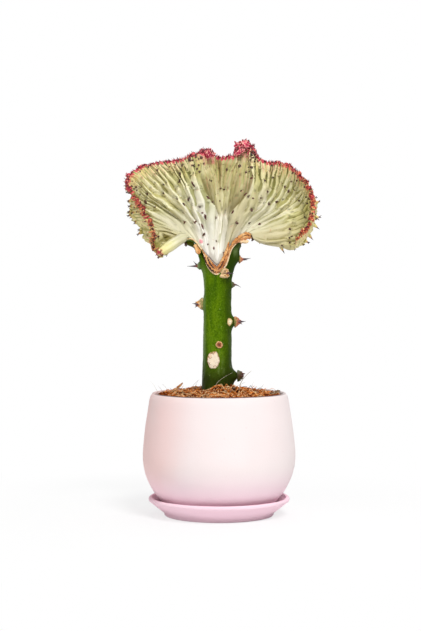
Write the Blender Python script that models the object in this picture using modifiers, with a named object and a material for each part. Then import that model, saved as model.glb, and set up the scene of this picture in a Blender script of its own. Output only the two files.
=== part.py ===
"""A grafted coral cactus in a round clay pot on its saucer.

A crested scion, a fleshy fan whose growing edge winds to and fro, sits in the V-cut top of a green
rootstock. The rootstock grows in coir in a pot with a drain hole, and the pot stands on its saucer.
The origin is the middle of the saucer's flat underside, +Z is up and -Y is the front.
"""

import math

import bmesh
import bpy
import numpy as np
from mathutils import Vector

MM = 0.001
GAP = 0.3 * MM  # left between pieces that touch
TURNED_SIDES = 44
MIX_SIDES = 32

# Saucer
SAUCER_RADIUS = 55.5 * MM
SAUCER_FOOT_RADIUS = 43.0 * MM
SAUCER_HEIGHT = 14.3 * MM
SAUCER_FLOOR = 4.0 * MM
SAUCER_WALL = 3.6 * MM

# Pot
POT_FOOT_Z = SAUCER_FLOOR + GAP
POT_LIP = 2.0 * MM  # radius of the rounded lip
POT_LIP_RADIUS = 50.6 * MM  # middle of the lip
POT_TOP_Z = 96.0 * MM
POT_WALL = 4.2 * MM
POT_FLOOR_Z = 11.0 * MM
POT_FLOOR_RADIUS = 36.0 * MM
POT_FOOT_RING = 33.5 * MM  # inner radius of the ring that the pot stands on
POT_RECESS = 2.2 * MM  # depth of the hollow inside that ring
DRAIN_RADIUS = 6.0 * MM

# Potting mix: its top rises from the wall to the stem
MIX_EDGE_Z = POT_TOP_Z - 1.4 * MM
MIX_CROWN_Z = POT_TOP_Z + 6.2 * MM
MIX_RADIUS = POT_LIP_RADIUS - POT_LIP - GAP

# Rootstock sections: height, reach to the left, reach to the right, half depth, all in mm
STEM_SECTIONS = (
    (58, 4.0, 4.0, 4.0),
    (61, 8.0, 8.0, 8.0),
    (68, 10.5, 10.5, 10.5),
    (80, 12.0, 12.0, 12.0),
    (98, 13.4, 11.6, 12.2),
    (106, 13.2, 10.8, 11.6),
    (118, 12.7, 9.9, 11.0),
    (150, 12.4, 9.5, 10.8),
    (172, 11.6, 9.4, 10.5),
    (184, 12.1, 9.7, 10.5),
    (190, 13.0, 10.8, 10.6),
    (196, 14.3, 12.8, 10.8),
    (200, 15.2, 14.4, 11.0),
    (203, 15.9, 15.4, 11.0),
    (206, 17.3, 15.6, 10.9),
    (208.5, 19.4, 16.2, 10.7),
    (210, 23.0, 16.8, 10.5),
    (211.2, 26.6, 17.6, 10.3),
    (213.2, 27.6, 20.4, 10.0),
    (215, 27.6, 24.0, 9.8),
    (217, 27.5, 26.2, 9.6),
    (220, 27.3, 27.0, 9.4),
    (226, 27.0, 27.0, 9.2),
)
STEM_SIDES = 24
STEM_RING_STEP = 7.0 * MM
STEM_FOOT_Z = 58.0 * MM
STEM_TOP_Z = 225.0 * MM  # the loft runs on above the V, which cuts it
SLAB_TOP = 240  # mm, above everything the V cuts
SLAB_HALF_DEPTH = 24.0 * MM
STEM_SQUARENESS = 2.3
RIB_SWELL = 0.022

# The V cut, seen from the front: x and height of the stock's edge, and of the scion's edge above it
STOCK_V = (
    (-34, 214.4), (-27.4, 214.0), (-22.5, 214.4), (-19.6, 213.4), (-17.2, 210.8), (-14.8, 207.8),
    (-12.4, 204.4), (-10.9, 200.8), (-9.8, 197.0), (-8.0, 193.4), (-5.2, 190.2), (-2.2, 188.8),
    (0.6, 189.6), (3.0, 192.0), (5.2, 195.4), (6.8, 200.0), (8.2, 205.0), (10.0, 209.2),
    (12.4, 211.8), (15.4, 213.2), (16.8, 213.4), (17.6, 209.6), (34, 209.0),
)
SCION_V = (
    (-34, 214.9), (-28.2, 216.0), (-27.2, 217.0), (-22.7, 217.2), (-18.6, 214.8), (-15.5, 211.4),
    (-12.4, 207.6), (-9.8, 204.4), (-6.6, 200.8), (-4.2, 197.8), (-1.8, 195.6), (0.2, 197.6),
    (2.4, 200.8), (4.7, 205.0), (7.0, 209.4), (9.6, 212.8), (12.4, 215.2), (15.2, 217.4),
    (19.0, 219.8), (22.7, 220.8), (26.6, 220.2), (27.6, 218.6), (34, 216.5),
)
CALLUS_FOOT_Z = 184.0 * MM
CALLUS_PROUD = 0.9 * MM

# Spine shields on the rootstock: angle round the stem (0 is +X, -90 the front), height, size of the
# shield and height of the bump under it, then for each spine how far it leans along the stem's side,
# how far it leans up, and its length. Degrees and mm.
SHIELDS = {
    "upper_left": (184, 195.2, 2.9, 1.4, ((0.20, -0.05, 8.5), (-0.30, 0.90, 4.5))),
    "middle_left": (190, 165.5, 3.8, 1.6, ((0.30, 0.05, 6.5), (-0.35, -0.10, 5.0))),
    "upper_right": (-4, 200.5, 2.9, 1.6, ((-0.15, 0.05, 7.5), (0.25, -0.20, 6.5))),
    "high_right": (-14, 180.0, 2.3, 0.8, ((-0.10, -0.35, 7.5), (0.45, -0.10, 5.5))),
    "middle_right": (-12, 151.5, 3.8, 3.4, ((-0.20, 0.00, 7.0), (0.35, 0.05, 5.0))),
    "low_right": (-10, 108.5, 3.6, 4.6, ((-0.30, 0.25, 4.5), (0.30, 0.10, 4.5))),
    "front_notch": (-72, 187.6, 3.0, 1.2, ((0.95, -0.05, 7.0), (-0.50, 0.20, 3.5))),
    "back_low": (84, 124.0, 3.2, 1.8, ((0.50, 0.10, 6.5), (-0.50, 0.10, 6.5))),
    "back_middle": (118, 152.0, 3.2, 1.8, ((0.50, -0.10, 6.0), (-0.50, 0.10, 6.5))),
    "back_high": (66, 176.0, 2.8, 1.4, ((0.45, 0.20, 6.5), (-0.50, 0.00, 6.0))),
}
# Scars with a corky skin: angle round the stem, height, half width and half height in mm
SCARS = {
    "leaf_scar": (-88, 133.7, 3.3, 3.3),
    "offset_scar": (-114, 120.7, 5.0, 7.4),
    "bud_scar": (-42, 151.4, 2.0, 2.2),
    "back_leaf_scar": (100, 138.0, 3.0, 2.6),
}
SCAR_DOME = 1.0 * MM
SPINE_RADII = (0.75 * MM, 0.2 * MM)  # at the shield and near the tip
SPINE_BOW = 0.7 * MM  # how far a spine's tip curves up

# Guide curves of the fan. Each station, from the left end of the growing edge to the right end,
# gives a point on that edge, a point half way down the fan, and the x of its foot on the scion's V
STATIONS = (
    ((-45.0, -19, 203.0), (-37.0, -5, 207.0), -27.2),
    ((-51.0, -26, 210.0), (-47.0, -4, 212.5), -26.8),
    ((-52.5, -31, 218.5), (-54.5, -1, 220.5), -26.0),
    ((-54.5, -34, 228.5), (-60.0, 3, 227.5), -24.8),
    ((-60.0, -32, 238.5), (-63.5, 7, 234.5), -23.0),
    ((-67.0, -25, 248.5), (-60.0, 10, 240.0), -21.0),
    ((-72.5, -15, 258.0), (-51.0, 10, 243.5), -18.8),
    ((-70.5, -6, 266.0), (-42.0, 8, 244.5), -16.4),
    ((-62.5, -1, 272.5), (-34.5, 5, 245.0), -14.0),
    ((-52.0, 0, 275.5), (-28.5, 2, 245.5), -11.8),
    ((-41.0, -1, 277.0), (-23.5, -1, 246.0), -9.8),
    ((-31.5, -4, 277.5), (-19.0, -4, 246.0), -8.0),
    ((-24.0, -9, 280.0), (-15.0, -6, 246.0), -6.4),
    ((-18.0, -8, 284.0), (-11.5, -6, 246.0), -5.0),
    ((-14.5, 0, 286.0), (-8.5, -3, 245.5), -3.8),
    ((-10.5, 8, 286.0), (-5.8, 1, 245.5), -2.6),
    ((-5.0, 8, 282.5), (-2.8, 4, 245.0), -1.4),
    ((1.5, 4, 280.5), (1.0, 5, 245.0), 0.0),
    ((8.0, 1, 281.0), (5.5, 5, 245.0), 1.0),
    ((13.5, 3, 283.5), (9.8, 4, 245.0), 2.0),
    ((16.0, 10, 289.0), (13.2, 1, 245.5), 3.0),
    ((20.0, 14, 294.0), (16.2, -3, 245.5), 4.2),
    ((25.0, 9, 293.0), (19.4, -6, 246.0), 5.6),
    ((28.0, 0, 286.5), (23.0, -7, 246.0), 7.2),
    ((31.5, -6, 279.0), (27.0, -6, 246.0), 9.2),
    ((38.0, -7, 275.5), (31.5, -3, 245.5), 11.6),
    ((45.5, -4, 276.0), (37.0, 1, 245.0), 14.2),
    ((54.0, -2, 274.0), (44.0, 6, 244.5), 17.0),
    ((61.5, -4, 268.0), (51.5, 9, 243.0), 19.6),
    ((68.0, -10, 259.5), (58.5, 10, 239.5), 21.8),
    ((71.5, -18, 249.5), (63.5, 8, 233.5), 23.5),
    ((71.5, -26, 239.0), (65.0, 4, 226.5), 24.8),
    ((69.5, -32, 230.0), (62.0, 0, 219.5), 25.7),
    ((65.0, -35, 222.0), (57.5, -3, 212.0), 26.3),
    ((58.5, -36, 216.0), (51.0, -5, 207.5), 26.6),
)
RIBS = 27  # main ribs from end to end of the growing edge
COLUMNS_PER_RIB = 4
CREST_ROWS = (0.0, 0.06, 0.13, 0.22, 0.33, 0.45, 0.57, 0.69, 0.80, 0.90, 0.97, 1.0)
FOOT_RISE = 24.0 * MM  # steepens the fan's start, so that it stands up from the V
RIB_HEIGHT = 1.9 * MM
NORMAL_SMOOTHING = 8  # passes that keep the two faces from crossing inside a tight fold
END_COLUMNS = 3  # columns over which an end of the fan is rounded
# Half thickness of the fan from its foot (0) to its growing edge (1), in mm
FAN_THICKNESS = (
    (0, 9.0), (0.06, 8.4), (0.15, 6.8), (0.32, 4.6), (0.55, 3.1), (0.9, 2.5), (0.97, 1.9), (1, 0.9),
)

COLORS = {
    "clay_pink": ((0.86, 0.70, 0.70), 0.75),
    "coir_brown": ((0.30, 0.12, 0.04), 0.95),
    "husk_tan": ((0.42, 0.20, 0.07), 0.90),
    "stem_green": ((0.07, 0.16, 0.01), 0.45),
    "callus_tan": ((0.62, 0.30, 0.13), 0.80),
    "cork_brown": ((0.45, 0.26, 0.14), 0.80),
    "crest_green": ((0.58, 0.58, 0.32), 0.55),
}


# Helpers


def clear_scene():
    for obj in list(bpy.data.objects):
        bpy.data.objects.remove(obj)


def new_collection(name):
    collection = bpy.data.collections.new(name)
    bpy.context.scene.collection.children.link(collection)
    return collection


def material(name):
    color, roughness = COLORS[name]
    found = bpy.data.materials.get(name)
    if found:
        return found
    made = bpy.data.materials.new(name)
    made.use_nodes = True
    shader = made.node_tree.nodes["Principled BSDF"]
    shader.inputs["Base Color"].default_value = (*color, 1)
    shader.inputs["Roughness"].default_value = roughness
    shader.inputs["Metallic"].default_value = 0
    return made


def add_object(name, data, collection, material_name=None):
    obj = bpy.data.objects.new(name, data)
    collection.objects.link(obj)
    if material_name:
        data.materials.append(material(material_name))
    return obj


def mesh_object(name, points, faces, collection, material_name=None):
    mesh = bpy.data.meshes.new(name)
    mesh.from_pydata([tuple(p) for p in points], [], faces)
    mesh.validate()
    mesh.shade_smooth()
    mesh.set_sharp_from_angle(angle=math.radians(40))
    return add_object(name, mesh, collection, material_name)


def as_helper(obj):
    obj.hide_render = True
    obj.display_type = "WIRE"
    return obj


def boolean(obj, other, operation):
    modifier = obj.modifiers.new(operation.lower(), "BOOLEAN")
    modifier.operation = operation
    modifier.solver = "EXACT"
    modifier.object = other
    return modifier


def catmull_rom(points, at):
    """The smooth curve through points, read at station numbers from 0 to len(points) - 1."""
    points = np.asarray(points, float)
    ends = np.vstack([2 * points[0] - points[1], points, 2 * points[-1] - points[-2]])
    index = np.clip(np.floor(at).astype(int), 0, len(points) - 2)
    u = (np.asarray(at, float) - index)[:, None]
    p0, p1, p2, p3 = (ends[index + k] for k in range(4))
    return 0.5 * (
        2 * p1 + (p2 - p0) * u + (2 * p0 - 5 * p1 + 4 * p2 - p3) * u**2 + (3 * p1 - p0 - 3 * p2 + p3) * u**3
    )


def smoothstep(low, high, value):
    share = np.clip((value - low) / (high - low), 0, 1)
    return share * share * (3 - 2 * share)


# Turned pieces


def turned(name, profile, closed, collection, material_name):
    """A profile in the XZ plane turned about Z. It runs down its outer side."""
    count = len(profile)
    edges = [(i, i + 1) for i in range(count - 1)] + ([(count - 1, 0)] if closed else [])
    mesh = bpy.data.meshes.new(name)
    mesh.from_pydata([(r, 0, z) for r, z in profile], edges, [])
    obj = add_object(name, mesh, collection, material_name)
    screw = obj.modifiers.new("turn", "SCREW")
    screw.axis = "Z"
    screw.steps = TURNED_SIDES
    screw.render_steps = TURNED_SIDES
    screw.use_merge_vertices = True
    screw.merge_threshold = 0.00001
    screw.use_smooth_shade = True
    return obj


def rim_arc(center_r, center_z, radius, start, end, steps):
    """Points of a round lip, by angle in degrees in the XZ plane."""
    angles = np.radians(np.linspace(start, end, steps))
    return [(center_r + radius * math.cos(a), center_z + radius * math.sin(a)) for a in angles]


def build_saucer(collection):
    lip = SAUCER_WALL / 2
    lip_r = SAUCER_RADIUS - lip
    lip_z = SAUCER_HEIGHT - lip
    profile = [(0, SAUCER_FLOOR), (SAUCER_FOOT_RADIUS - 3.2 * MM, SAUCER_FLOOR)]
    profile += [(SAUCER_FOOT_RADIUS - 1.0 * MM, SAUCER_FLOOR + 0.8 * MM)]
    profile += rim_arc(lip_r, lip_z, lip, 135, -45, 6)
    profile += [(SAUCER_FOOT_RADIUS + 0.4 * MM, 2.2 * MM), (SAUCER_FOOT_RADIUS, 1.6 * MM)]
    profile += [(SAUCER_FOOT_RADIUS, 0.5 * MM), (SAUCER_FOOT_RADIUS - 0.5 * MM, 0), (0, 0)]
    return turned("saucer", profile, False, collection, "clay_pink")


POT_OUTLINE = (
    (53.9, 93.4), (54.8, 90), (56.2, 81), (57.8, 71), (59.1, 59.5), (60.0, 48), (59.6, 40), (57.7, 31.5),
    (54.6, 24.3), (51.0, 18), (46.2, 12.2), (41, 7.4), (37.0, 4.3),
)


def pot_outline():
    """The pot's outer side from the shoulder down to the foot."""
    return [(r * MM, z * MM if z > 5 else POT_FOOT_Z) for r, z in POT_OUTLINE]


def pot_inner_wall():
    """The inner side from near the floor up to the lip: the outer side moved in by the wall."""
    corner = [(42.5 * MM, POT_FLOOR_Z + 2.0 * MM)]
    side = [(r - POT_WALL, z) for r, z in pot_outline()[1::2] if POT_FLOOR_Z + 6 * MM < z]
    return corner + side[::-1] + [(POT_LIP_RADIUS - POT_LIP, POT_TOP_Z - POT_LIP)]


def build_pot(collection):
    inner = [(DRAIN_RADIUS, POT_FLOOR_Z), (POT_FLOOR_RADIUS, POT_FLOOR_Z)] + pot_inner_wall()[:-1]
    inner += rim_arc(POT_LIP_RADIUS, POT_TOP_Z - POT_LIP, POT_LIP, 180, 20, 6)
    recess_z = POT_FOOT_Z + POT_RECESS
    under = [(POT_FOOT_RING, POT_FOOT_Z), (POT_FOOT_RING - MM, recess_z), (DRAIN_RADIUS, recess_z)]
    return turned("pot", inner + pot_outline() + under, True, collection, "clay_pink")


# Potting mix and what lies on it


def mix_height(x, y):
    """Top of the potting mix: a low dome round the stem with soft lumps."""
    share = np.clip(1 - (np.hypot(x, y) / MIX_RADIUS) ** 2, 0, 1) ** 0.9
    lumps = np.sin(x / (5.1 * MM) + 1.3) * np.sin(y / (4.3 * MM) + 0.4) + np.sin((x + y) / (7.7 * MM))
    return MIX_EDGE_Z + (MIX_CROWN_Z - MIX_EDGE_Z) * share + 0.4 * MM * lumps * np.clip(share * 3, 0, 1)


def build_mix(collection, stock_cutter):
    """Rings of the dome's top, then the side along the pot's inner wall, then the flat bottom."""
    sides = MIX_SIDES
    bottom_z = POT_FLOOR_Z + GAP
    wall = [(r - GAP, max(z, bottom_z)) for r, z in reversed(pot_inner_wall())]
    rings = [(r, None) for r in (6 * MM, 14 * MM, 20 * MM, 26 * MM, 32 * MM, 38 * MM, 43 * MM, MIX_RADIUS)]
    rings += wall + [(POT_FLOOR_RADIUS - GAP, bottom_z), (2 * DRAIN_RADIUS, bottom_z)]
    angles = np.linspace(0, 2 * math.pi, sides, endpoint=False)
    points, faces = [], []
    for r, z in rings:
        x, y = r * np.cos(angles), r * np.sin(angles)
        heights = mix_height(x, y) if z is None else np.full(sides, z)
        points += list(zip(x, y, heights))
    for k in range(len(rings) - 1):
        for i in range(sides):
            j = (i + 1) % sides
            faces.append((k * sides + i, (k + 1) * sides + i, (k + 1) * sides + j, k * sides + j))
    top, bottom = len(points), len(points) + 1
    points += [(0, 0, float(mix_height(0.0, 0.0))), (0, 0, bottom_z)]
    last = (len(rings) - 1) * sides
    for i in range(sides):
        j = (i + 1) % sides
        faces.append((top, i, j))
        faces.append((bottom, last + j, last + i))
    obj = mesh_object("potting_mix", points, faces, collection, "coir_brown")
    boolean(obj, stock_cutter, "DIFFERENCE")
    return obj


def mesh_from_curve(guide, name, collection, material_name=None):
    """Makes a curve object a closed mesh in place of the curve."""
    bpy.context.view_layer.update()
    evaluated = guide.evaluated_get(bpy.context.evaluated_depsgraph_get())
    mesh = bpy.data.meshes.new_from_object(evaluated)
    mesh.transform(guide.matrix_world)
    bpy.data.objects.remove(guide)
    weld = bmesh.new()
    weld.from_mesh(mesh)
    bmesh.ops.remove_doubles(weld, verts=weld.verts, dist=0.00001)
    bmesh.ops.recalc_face_normals(weld, faces=weld.faces)
    weld.to_mesh(mesh)
    weld.free()
    mesh.name = name
    mesh.materials.clear()
    mesh.shade_smooth()
    return add_object(name, mesh, collection, material_name)


def tube(name, points, radii, collection, material_name=None):
    """A round rod through points with a radius at each."""
    curve = bpy.data.curves.new(name, "CURVE")
    curve.dimensions = "3D"
    curve.bevel_depth = 1.0
    curve.bevel_resolution = 1
    curve.use_fill_caps = True
    spline = curve.splines.new("POLY")
    spline.points.add(len(points) - 1)
    for point, place, radius in zip(spline.points, points, radii):
        point.co = (*place, 1)
        point.radius = radius
    guide = add_object(name + "_guide", curve, collection)
    return mesh_from_curve(guide, name, collection, material_name)


# Husk pieces on the mix: place x, y in mm, heading, length, half thickness, rise of the far end
HUSKS = {
    "husk_left": (-36, -14, 15, 14, 1.1, 6.0),
    "husk_front": (-8, -36, -12, 13, 1.0, 0.6),
    "husk_right": (38, -10, 20, 11, 1.2, 1.0),
    "husk_front_right": (22, -30, 60, 11, 0.9, 0.8),
    "husk_back": (12, 34, 5, 14, 1.1, 1.0),
    "husk_back_left": (-24, 28, -40, 12, 1.0, 1.5),
}
# Fibres that stand out of the mix: foot x, y in mm, then the lean of the tip in x, y and its rise
FIBRES = {
    "fibre_left": (-20, -8, 4, -1, 11),
    "fibre_centre_left": (-22, -12, 6, -3, 12),
    "fibre_front": (8, -22, 12, 2, 10),
    "fibre_right": (19, -10, 7, -2, 9),
    "fibre_far_right": (30, -6, 5, 2, 6),
    "fibre_back": (6, 24, -9, 4, 12),
}


def build_husks(collection):
    for name, (x, y, heading, length, half, rise) in HUSKS.items():
        turn = math.radians(heading)
        t = np.linspace(0, 1, 7)
        px = (x + t * length * math.cos(turn)) * MM
        py = (y + t * length * math.sin(turn)) * MM
        pz = mix_height(px, py).max() + (half * 1.1 + 0.5 + rise * t**1.3) * MM
        radii = half * MM * (1 - 0.75 * (2 * t - 1) ** 2)
        tube(name, list(zip(px, py, pz)), radii, collection, "husk_tan")


def build_fibres(collection):
    for name, (x, y, lean_x, lean_y, rise) in FIBRES.items():
        t = np.linspace(0, 1, 8)
        px = (x + lean_x * t**1.6) * MM
        py = (y + lean_y * t**1.6) * MM
        foot = float(mix_height(x * MM, y * MM)) + 3 * GAP
        radii = 0.36 * MM * (1 - 0.45 * t)
        tube(name, list(zip(px, py, foot + rise * MM * t)), radii, collection, "husk_tan")


# Rootstock


def stem_section(z):
    """Reach left, reach right and half depth of the rootstock at height z."""
    rows = np.array(STEM_SECTIONS, float) * MM
    return [np.interp(z, rows[:, 0], rows[:, k]) for k in (1, 2, 3)]


def stem_point(angle, z, grown=0.0):
    """Surface of the rootstock at an angle round it, with the bumps that carry the shields."""
    left, right, depth = stem_section(z)
    half = (left + right) / 2 + grown
    c, s = np.cos(angle), np.sin(angle)
    power = STEM_SQUARENESS
    section = (np.abs(c) ** power + np.abs(s) ** power) ** (-1 / power)
    section = section * (1 + RIB_SWELL * np.cos(5 * angle + z / (26 * MM)))
    bump = 0.0
    for around, height, size, rise, _ in SHIELDS.values():
        turn = (angle - math.radians(around) + math.pi) % (2 * math.pi) - math.pi
        away = np.hypot(turn * 11 * MM, z - height * MM)
        bump = bump + rise * MM * np.exp(-((away / (size * 1.15 * MM)) ** 2))
    x = (right - left) / 2 + c * (half * section + bump)
    y = s * ((depth + grown) * section + bump)
    return np.stack(np.broadcast_arrays(x, y, z), axis=-1)


def stem_heights(low, high):
    """The heights of the sections between low and high, with more of them where they lie far apart."""
    sections = [row[0] * MM for row in STEM_SECTIONS]
    marks = [low] + [z for z in sections if low + MM < z < high - MM] + [high]
    heights = []
    for start, end in zip(marks, marks[1:]):
        steps = math.ceil((end - start) / STEM_RING_STEP)
        heights += list(np.linspace(start, end, steps, endpoint=False))
    return heights + [high]


def stem_loft(name, grown, low, high, collection, material_name=None):
    """The rootstock as rings of points from low to high, closed at both ends."""
    heights = stem_heights(low, high)
    angles = np.linspace(0, 2 * math.pi, STEM_SIDES, endpoint=False)
    points, faces = [], []
    for z in heights:
        points += list(stem_point(angles, z, grown))
    for k in range(len(heights) - 1):
        for i in range(STEM_SIDES):
            j = (i + 1) % STEM_SIDES
            low_left, low_right, top_right, top_left = (
                row * STEM_SIDES + side for row, side in ((k, i), (k, j), (k + 1, j), (k + 1, i))
            )
            faces += [(low_left, low_right, top_right), (low_left, top_right, top_left)]
    last = (len(heights) - 1) * STEM_SIDES
    faces.append(tuple(reversed(range(STEM_SIDES))))
    faces.append(tuple(last + i for i in range(STEM_SIDES)))
    return mesh_object(name, points, faces, collection, material_name)


def v_slab(name, lower, upper, shift_low, shift_high, collection):
    """The space between two lines of the V, right through the stem from front to back."""
    low = [(x * MM, z * MM + shift_low) for x, z in lower]
    high = [(x * MM, z * MM + shift_high) for x, z in upper]
    outline = low + list(reversed(high))
    curve = bpy.data.curves.new(name, "CURVE")
    curve.dimensions = "2D"
    curve.fill_mode = "BOTH"
    curve.extrude = SLAB_HALF_DEPTH
    spline = curve.splines.new("POLY")
    spline.points.add(len(outline) - 1)
    spline.use_cyclic_u = True
    for point, (x, z) in zip(spline.points, outline):
        point.co = (x, z, 0, 1)
    guide = add_object(name + "_guide", curve, collection)
    guide.rotation_euler = (math.radians(90), 0, 0)
    return as_helper(mesh_from_curve(guide, name, collection))


# Roots: heading round the stem in degrees, reach and drop in mm
ROOTS = ((20, 24, 26), (95, 20, 30), (160, 26, 22), (230, 22, 28), (300, 25, 24))


def root_tube(name, heading, reach, drop, grown, collection):
    t = np.append(np.linspace(0, 1, 7), 1.05 if grown else [])
    turn = math.radians(heading) + 0.5 * t
    away = (5 + reach * t**0.9) * MM
    points = np.stack([away * np.cos(turn), away * np.sin(turn), 70 * MM - drop * MM * t**1.4], axis=1)
    return tube(name, points, (2.6 - 1.7 * t) * MM + grown, collection)


def build_rootstock(collection, helpers, scion_space):
    stock = stem_loft("rootstock", 0.0, STEM_FOOT_Z, STEM_TOP_Z, collection, "stem_green")
    top = [(STOCK_V[0][0], SLAB_TOP), (STOCK_V[-1][0], SLAB_TOP)]
    boolean(stock, v_slab("above_stock_v", STOCK_V, top, 0, 0, helpers), "DIFFERENCE")
    for number, root in enumerate(ROOTS):
        boolean(stock, as_helper(root_tube(f"root_{number}", *root, 0.0, helpers)), "UNION")
    boolean(stock, scion_space, "DIFFERENCE")
    return stock


def build_stock_cutter(helpers):
    """The buried part of the rootstock, grown by the gap, which the mix leaves free."""
    cutter = as_helper(stem_loft("stock_cutter", GAP, STEM_FOOT_Z - GAP, POT_TOP_Z + 29 * MM, helpers))
    for number, root in enumerate(ROOTS):
        boolean(cutter, as_helper(root_tube(f"root_space_{number}", *root, GAP, helpers)), "UNION")
    return cutter


def build_callus(collection, helpers, scion_space):
    """The healed tissue of the graft: it fills the V between stock and scion and stands a little proud."""
    callus = stem_loft("graft_callus", CALLUS_PROUD, CALLUS_FOOT_Z, STEM_TOP_Z, collection, "callus_tan")
    boolean(callus, v_slab("callus_layer", STOCK_V, SCION_V, GAP, -1.5 * GAP, helpers), "INTERSECT")
    boolean(callus, scion_space, "DIFFERENCE")
    return callus


def on_stem(around, height):
    """A place on the rootstock's surface, with the directions out, sideways and up."""
    angle, z = math.radians(around), height * MM
    place = Vector(stem_point(angle, z))
    along = Vector(stem_point(angle + 0.05, z)) - Vector(stem_point(angle - 0.05, z))
    out = Vector((along.y, -along.x, 0)).normalized()
    return place, out, Vector((-out.y, out.x, 0)), Vector((0, 0, 1))


def pad(name, around, height, half_width, half_height, dome, collection, material_name):
    """A domed oval pad lying on the rootstock."""
    place, out, side, up = on_stem(around, height)
    body = bmesh.new()
    bmesh.ops.create_uvsphere(body, u_segments=10, v_segments=6, radius=1)
    for vert in body.verts:
        p = vert.co
        vert.co = place + side * (p.x * half_width) + up * (p.y * half_height) + out * (p.z * dome)
    bmesh.ops.recalc_face_normals(body, faces=body.faces)
    mesh = bpy.data.meshes.new(name)
    body.to_mesh(mesh)
    body.free()
    mesh.shade_smooth()
    return add_object(name, mesh, collection, material_name)


def build_shield(name, collection, helpers, stock_space):
    """A corky pad on its bump of the stem with a pair of spines."""
    around, height, size, _, spines = SHIELDS[name]
    place, out, side, up = on_stem(around, height)
    half_width, half_height, dome = size * MM, 1.15 * size * MM, 0.6 * size * MM
    shield = pad("shield_" + name, around, height, half_width, half_height, dome, collection, "cork_brown")
    for number, (sideways, upward, length) in enumerate(spines):
        heading = (out + side * sideways + up * upward).normalized()
        foot = place + out * 0.2 * size * MM
        t = np.linspace(0, 1, 4)
        points = [foot + heading * length * MM * k + up * SPINE_BOW * k**2 for k in t]
        spine = tube(f"{name}_spine_{number}", points, np.interp(t, (0, 1), SPINE_RADII), helpers)
        boolean(shield, as_helper(spine), "UNION")
    boolean(shield, stock_space, "DIFFERENCE")
    return shield


def build_scar(name, collection, stock_space):
    around, height, half_width, half_height = SCARS[name]
    scar = pad(name, around, height, half_width * MM, half_height * MM, SCAR_DOME, collection, "cork_brown")
    boolean(scar, stock_space, "DIFFERENCE")
    return scar


# The fan


def fan_guides():
    """The growing edge, the waist and the foot line, evenly spaced along the growing edge."""
    fine = np.linspace(0, len(STATIONS) - 1, 1600)
    edge = catmull_rom([s[0] for s in STATIONS], fine)
    length = np.concatenate([[0], np.cumsum(np.linalg.norm(np.diff(edge, axis=0), axis=1))])
    count = RIBS * COLUMNS_PER_RIB + 1
    at = np.interp(np.linspace(0, length[-1], count), length, fine)
    edge = catmull_rom([s[0] for s in STATIONS], at)
    waist = catmull_rom([s[1] for s in STATIONS], at)
    foot_x = catmull_rom([[s[2]] for s in STATIONS], at)[:, 0]
    v = np.array(SCION_V, float)
    foot = np.stack([foot_x, np.zeros(count), np.interp(foot_x, v[:, 0], v[:, 1])], axis=1)
    return edge * MM, waist * MM, foot * MM


def fan_sheet(rows):
    """The fan's middle sheet: a curve from foot through waist to edge at each column."""
    edge, waist, foot = fan_guides()
    t = rows[..., None]
    sheet = foot * (1 - t) * (1 - 2 * t) + waist * 4 * t * (1 - t) + edge * t * (2 * t - 1)
    sheet[..., 2] += FOOT_RISE * rows * (1 - rows) ** 3
    return sheet


def fan_normals(sheet, rows):
    """Across the sheet: straight to the front at the foot, at right angles to the sheet further out."""
    normal = np.cross(np.gradient(sheet, axis=1), np.gradient(sheet, axis=0))
    normal /= np.linalg.norm(normal, axis=2, keepdims=True)
    for _ in range(NORMAL_SMOOTHING):
        normal[:, 1:-1] = (normal[:, :-2] + 2 * normal[:, 1:-1] + normal[:, 2:]) / 4
    share = smoothstep(0.08, 0.75, rows[..., None])
    normal = normal * share + np.array([0, -1, 0]) * (1 - share)
    return normal / np.linalg.norm(normal, axis=2, keepdims=True)


def fan_half_thickness(rows, columns):
    """Half thickness with the ribs on it, rounded off towards both ends."""
    to_rib = np.abs((columns / COLUMNS_PER_RIB + 0.5) % 1 - 0.5) * 2
    rib = RIB_HEIGHT * (1 - to_rib) ** 1.3 * smoothstep(0.03, 0.45, rows) * (1 - 0.75 * rows**8)
    from_end = np.minimum(columns, columns[::-1])
    rounding = np.sqrt(1 - (1 - np.clip(from_end / END_COLUMNS + 0.1, 0, 1)) ** 2)
    return (np.interp(rows, *zip(*FAN_THICKNESS)) * MM + rib) * rounding


def build_crest(name, grown, collection, material_name=None):
    """Front and back surfaces of the fan, each ribbed, joined along the edge, the ends and the foot."""
    rows = np.array(CREST_ROWS)[:, None]
    sheet = fan_sheet(rows)
    count = sheet.shape[1]
    normal = fan_normals(sheet, rows)
    half = (fan_half_thickness(rows, np.arange(count)) + grown)[..., None]
    for end, inner in ((0, 1), (-1, -2)):
        outward = sheet[:, end] - sheet[:, inner]
        sheet[:, end] += outward / np.linalg.norm(outward, axis=1, keepdims=True) * grown
    sheet[0, :, 2] -= grown
    loop = np.concatenate([sheet + normal * half, (sheet - normal * half)[::-1]])
    faces = []
    for i in range(len(loop)):
        k = (i + 1) % len(loop)
        for j in range(count - 1):
            faces.append((i * count + j, i * count + j + 1, k * count + j + 1, k * count + j))
    for i in range(len(CREST_ROWS) - 1):
        strip = (i, i + 1, len(loop) - 2 - i, len(loop) - 1 - i)
        faces.append(tuple(row * count for row in strip))
        faces.append(tuple(row * count + count - 1 for row in reversed(strip)))
    return mesh_object(name, loop.reshape(-1, 3), faces, collection, material_name)


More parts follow.
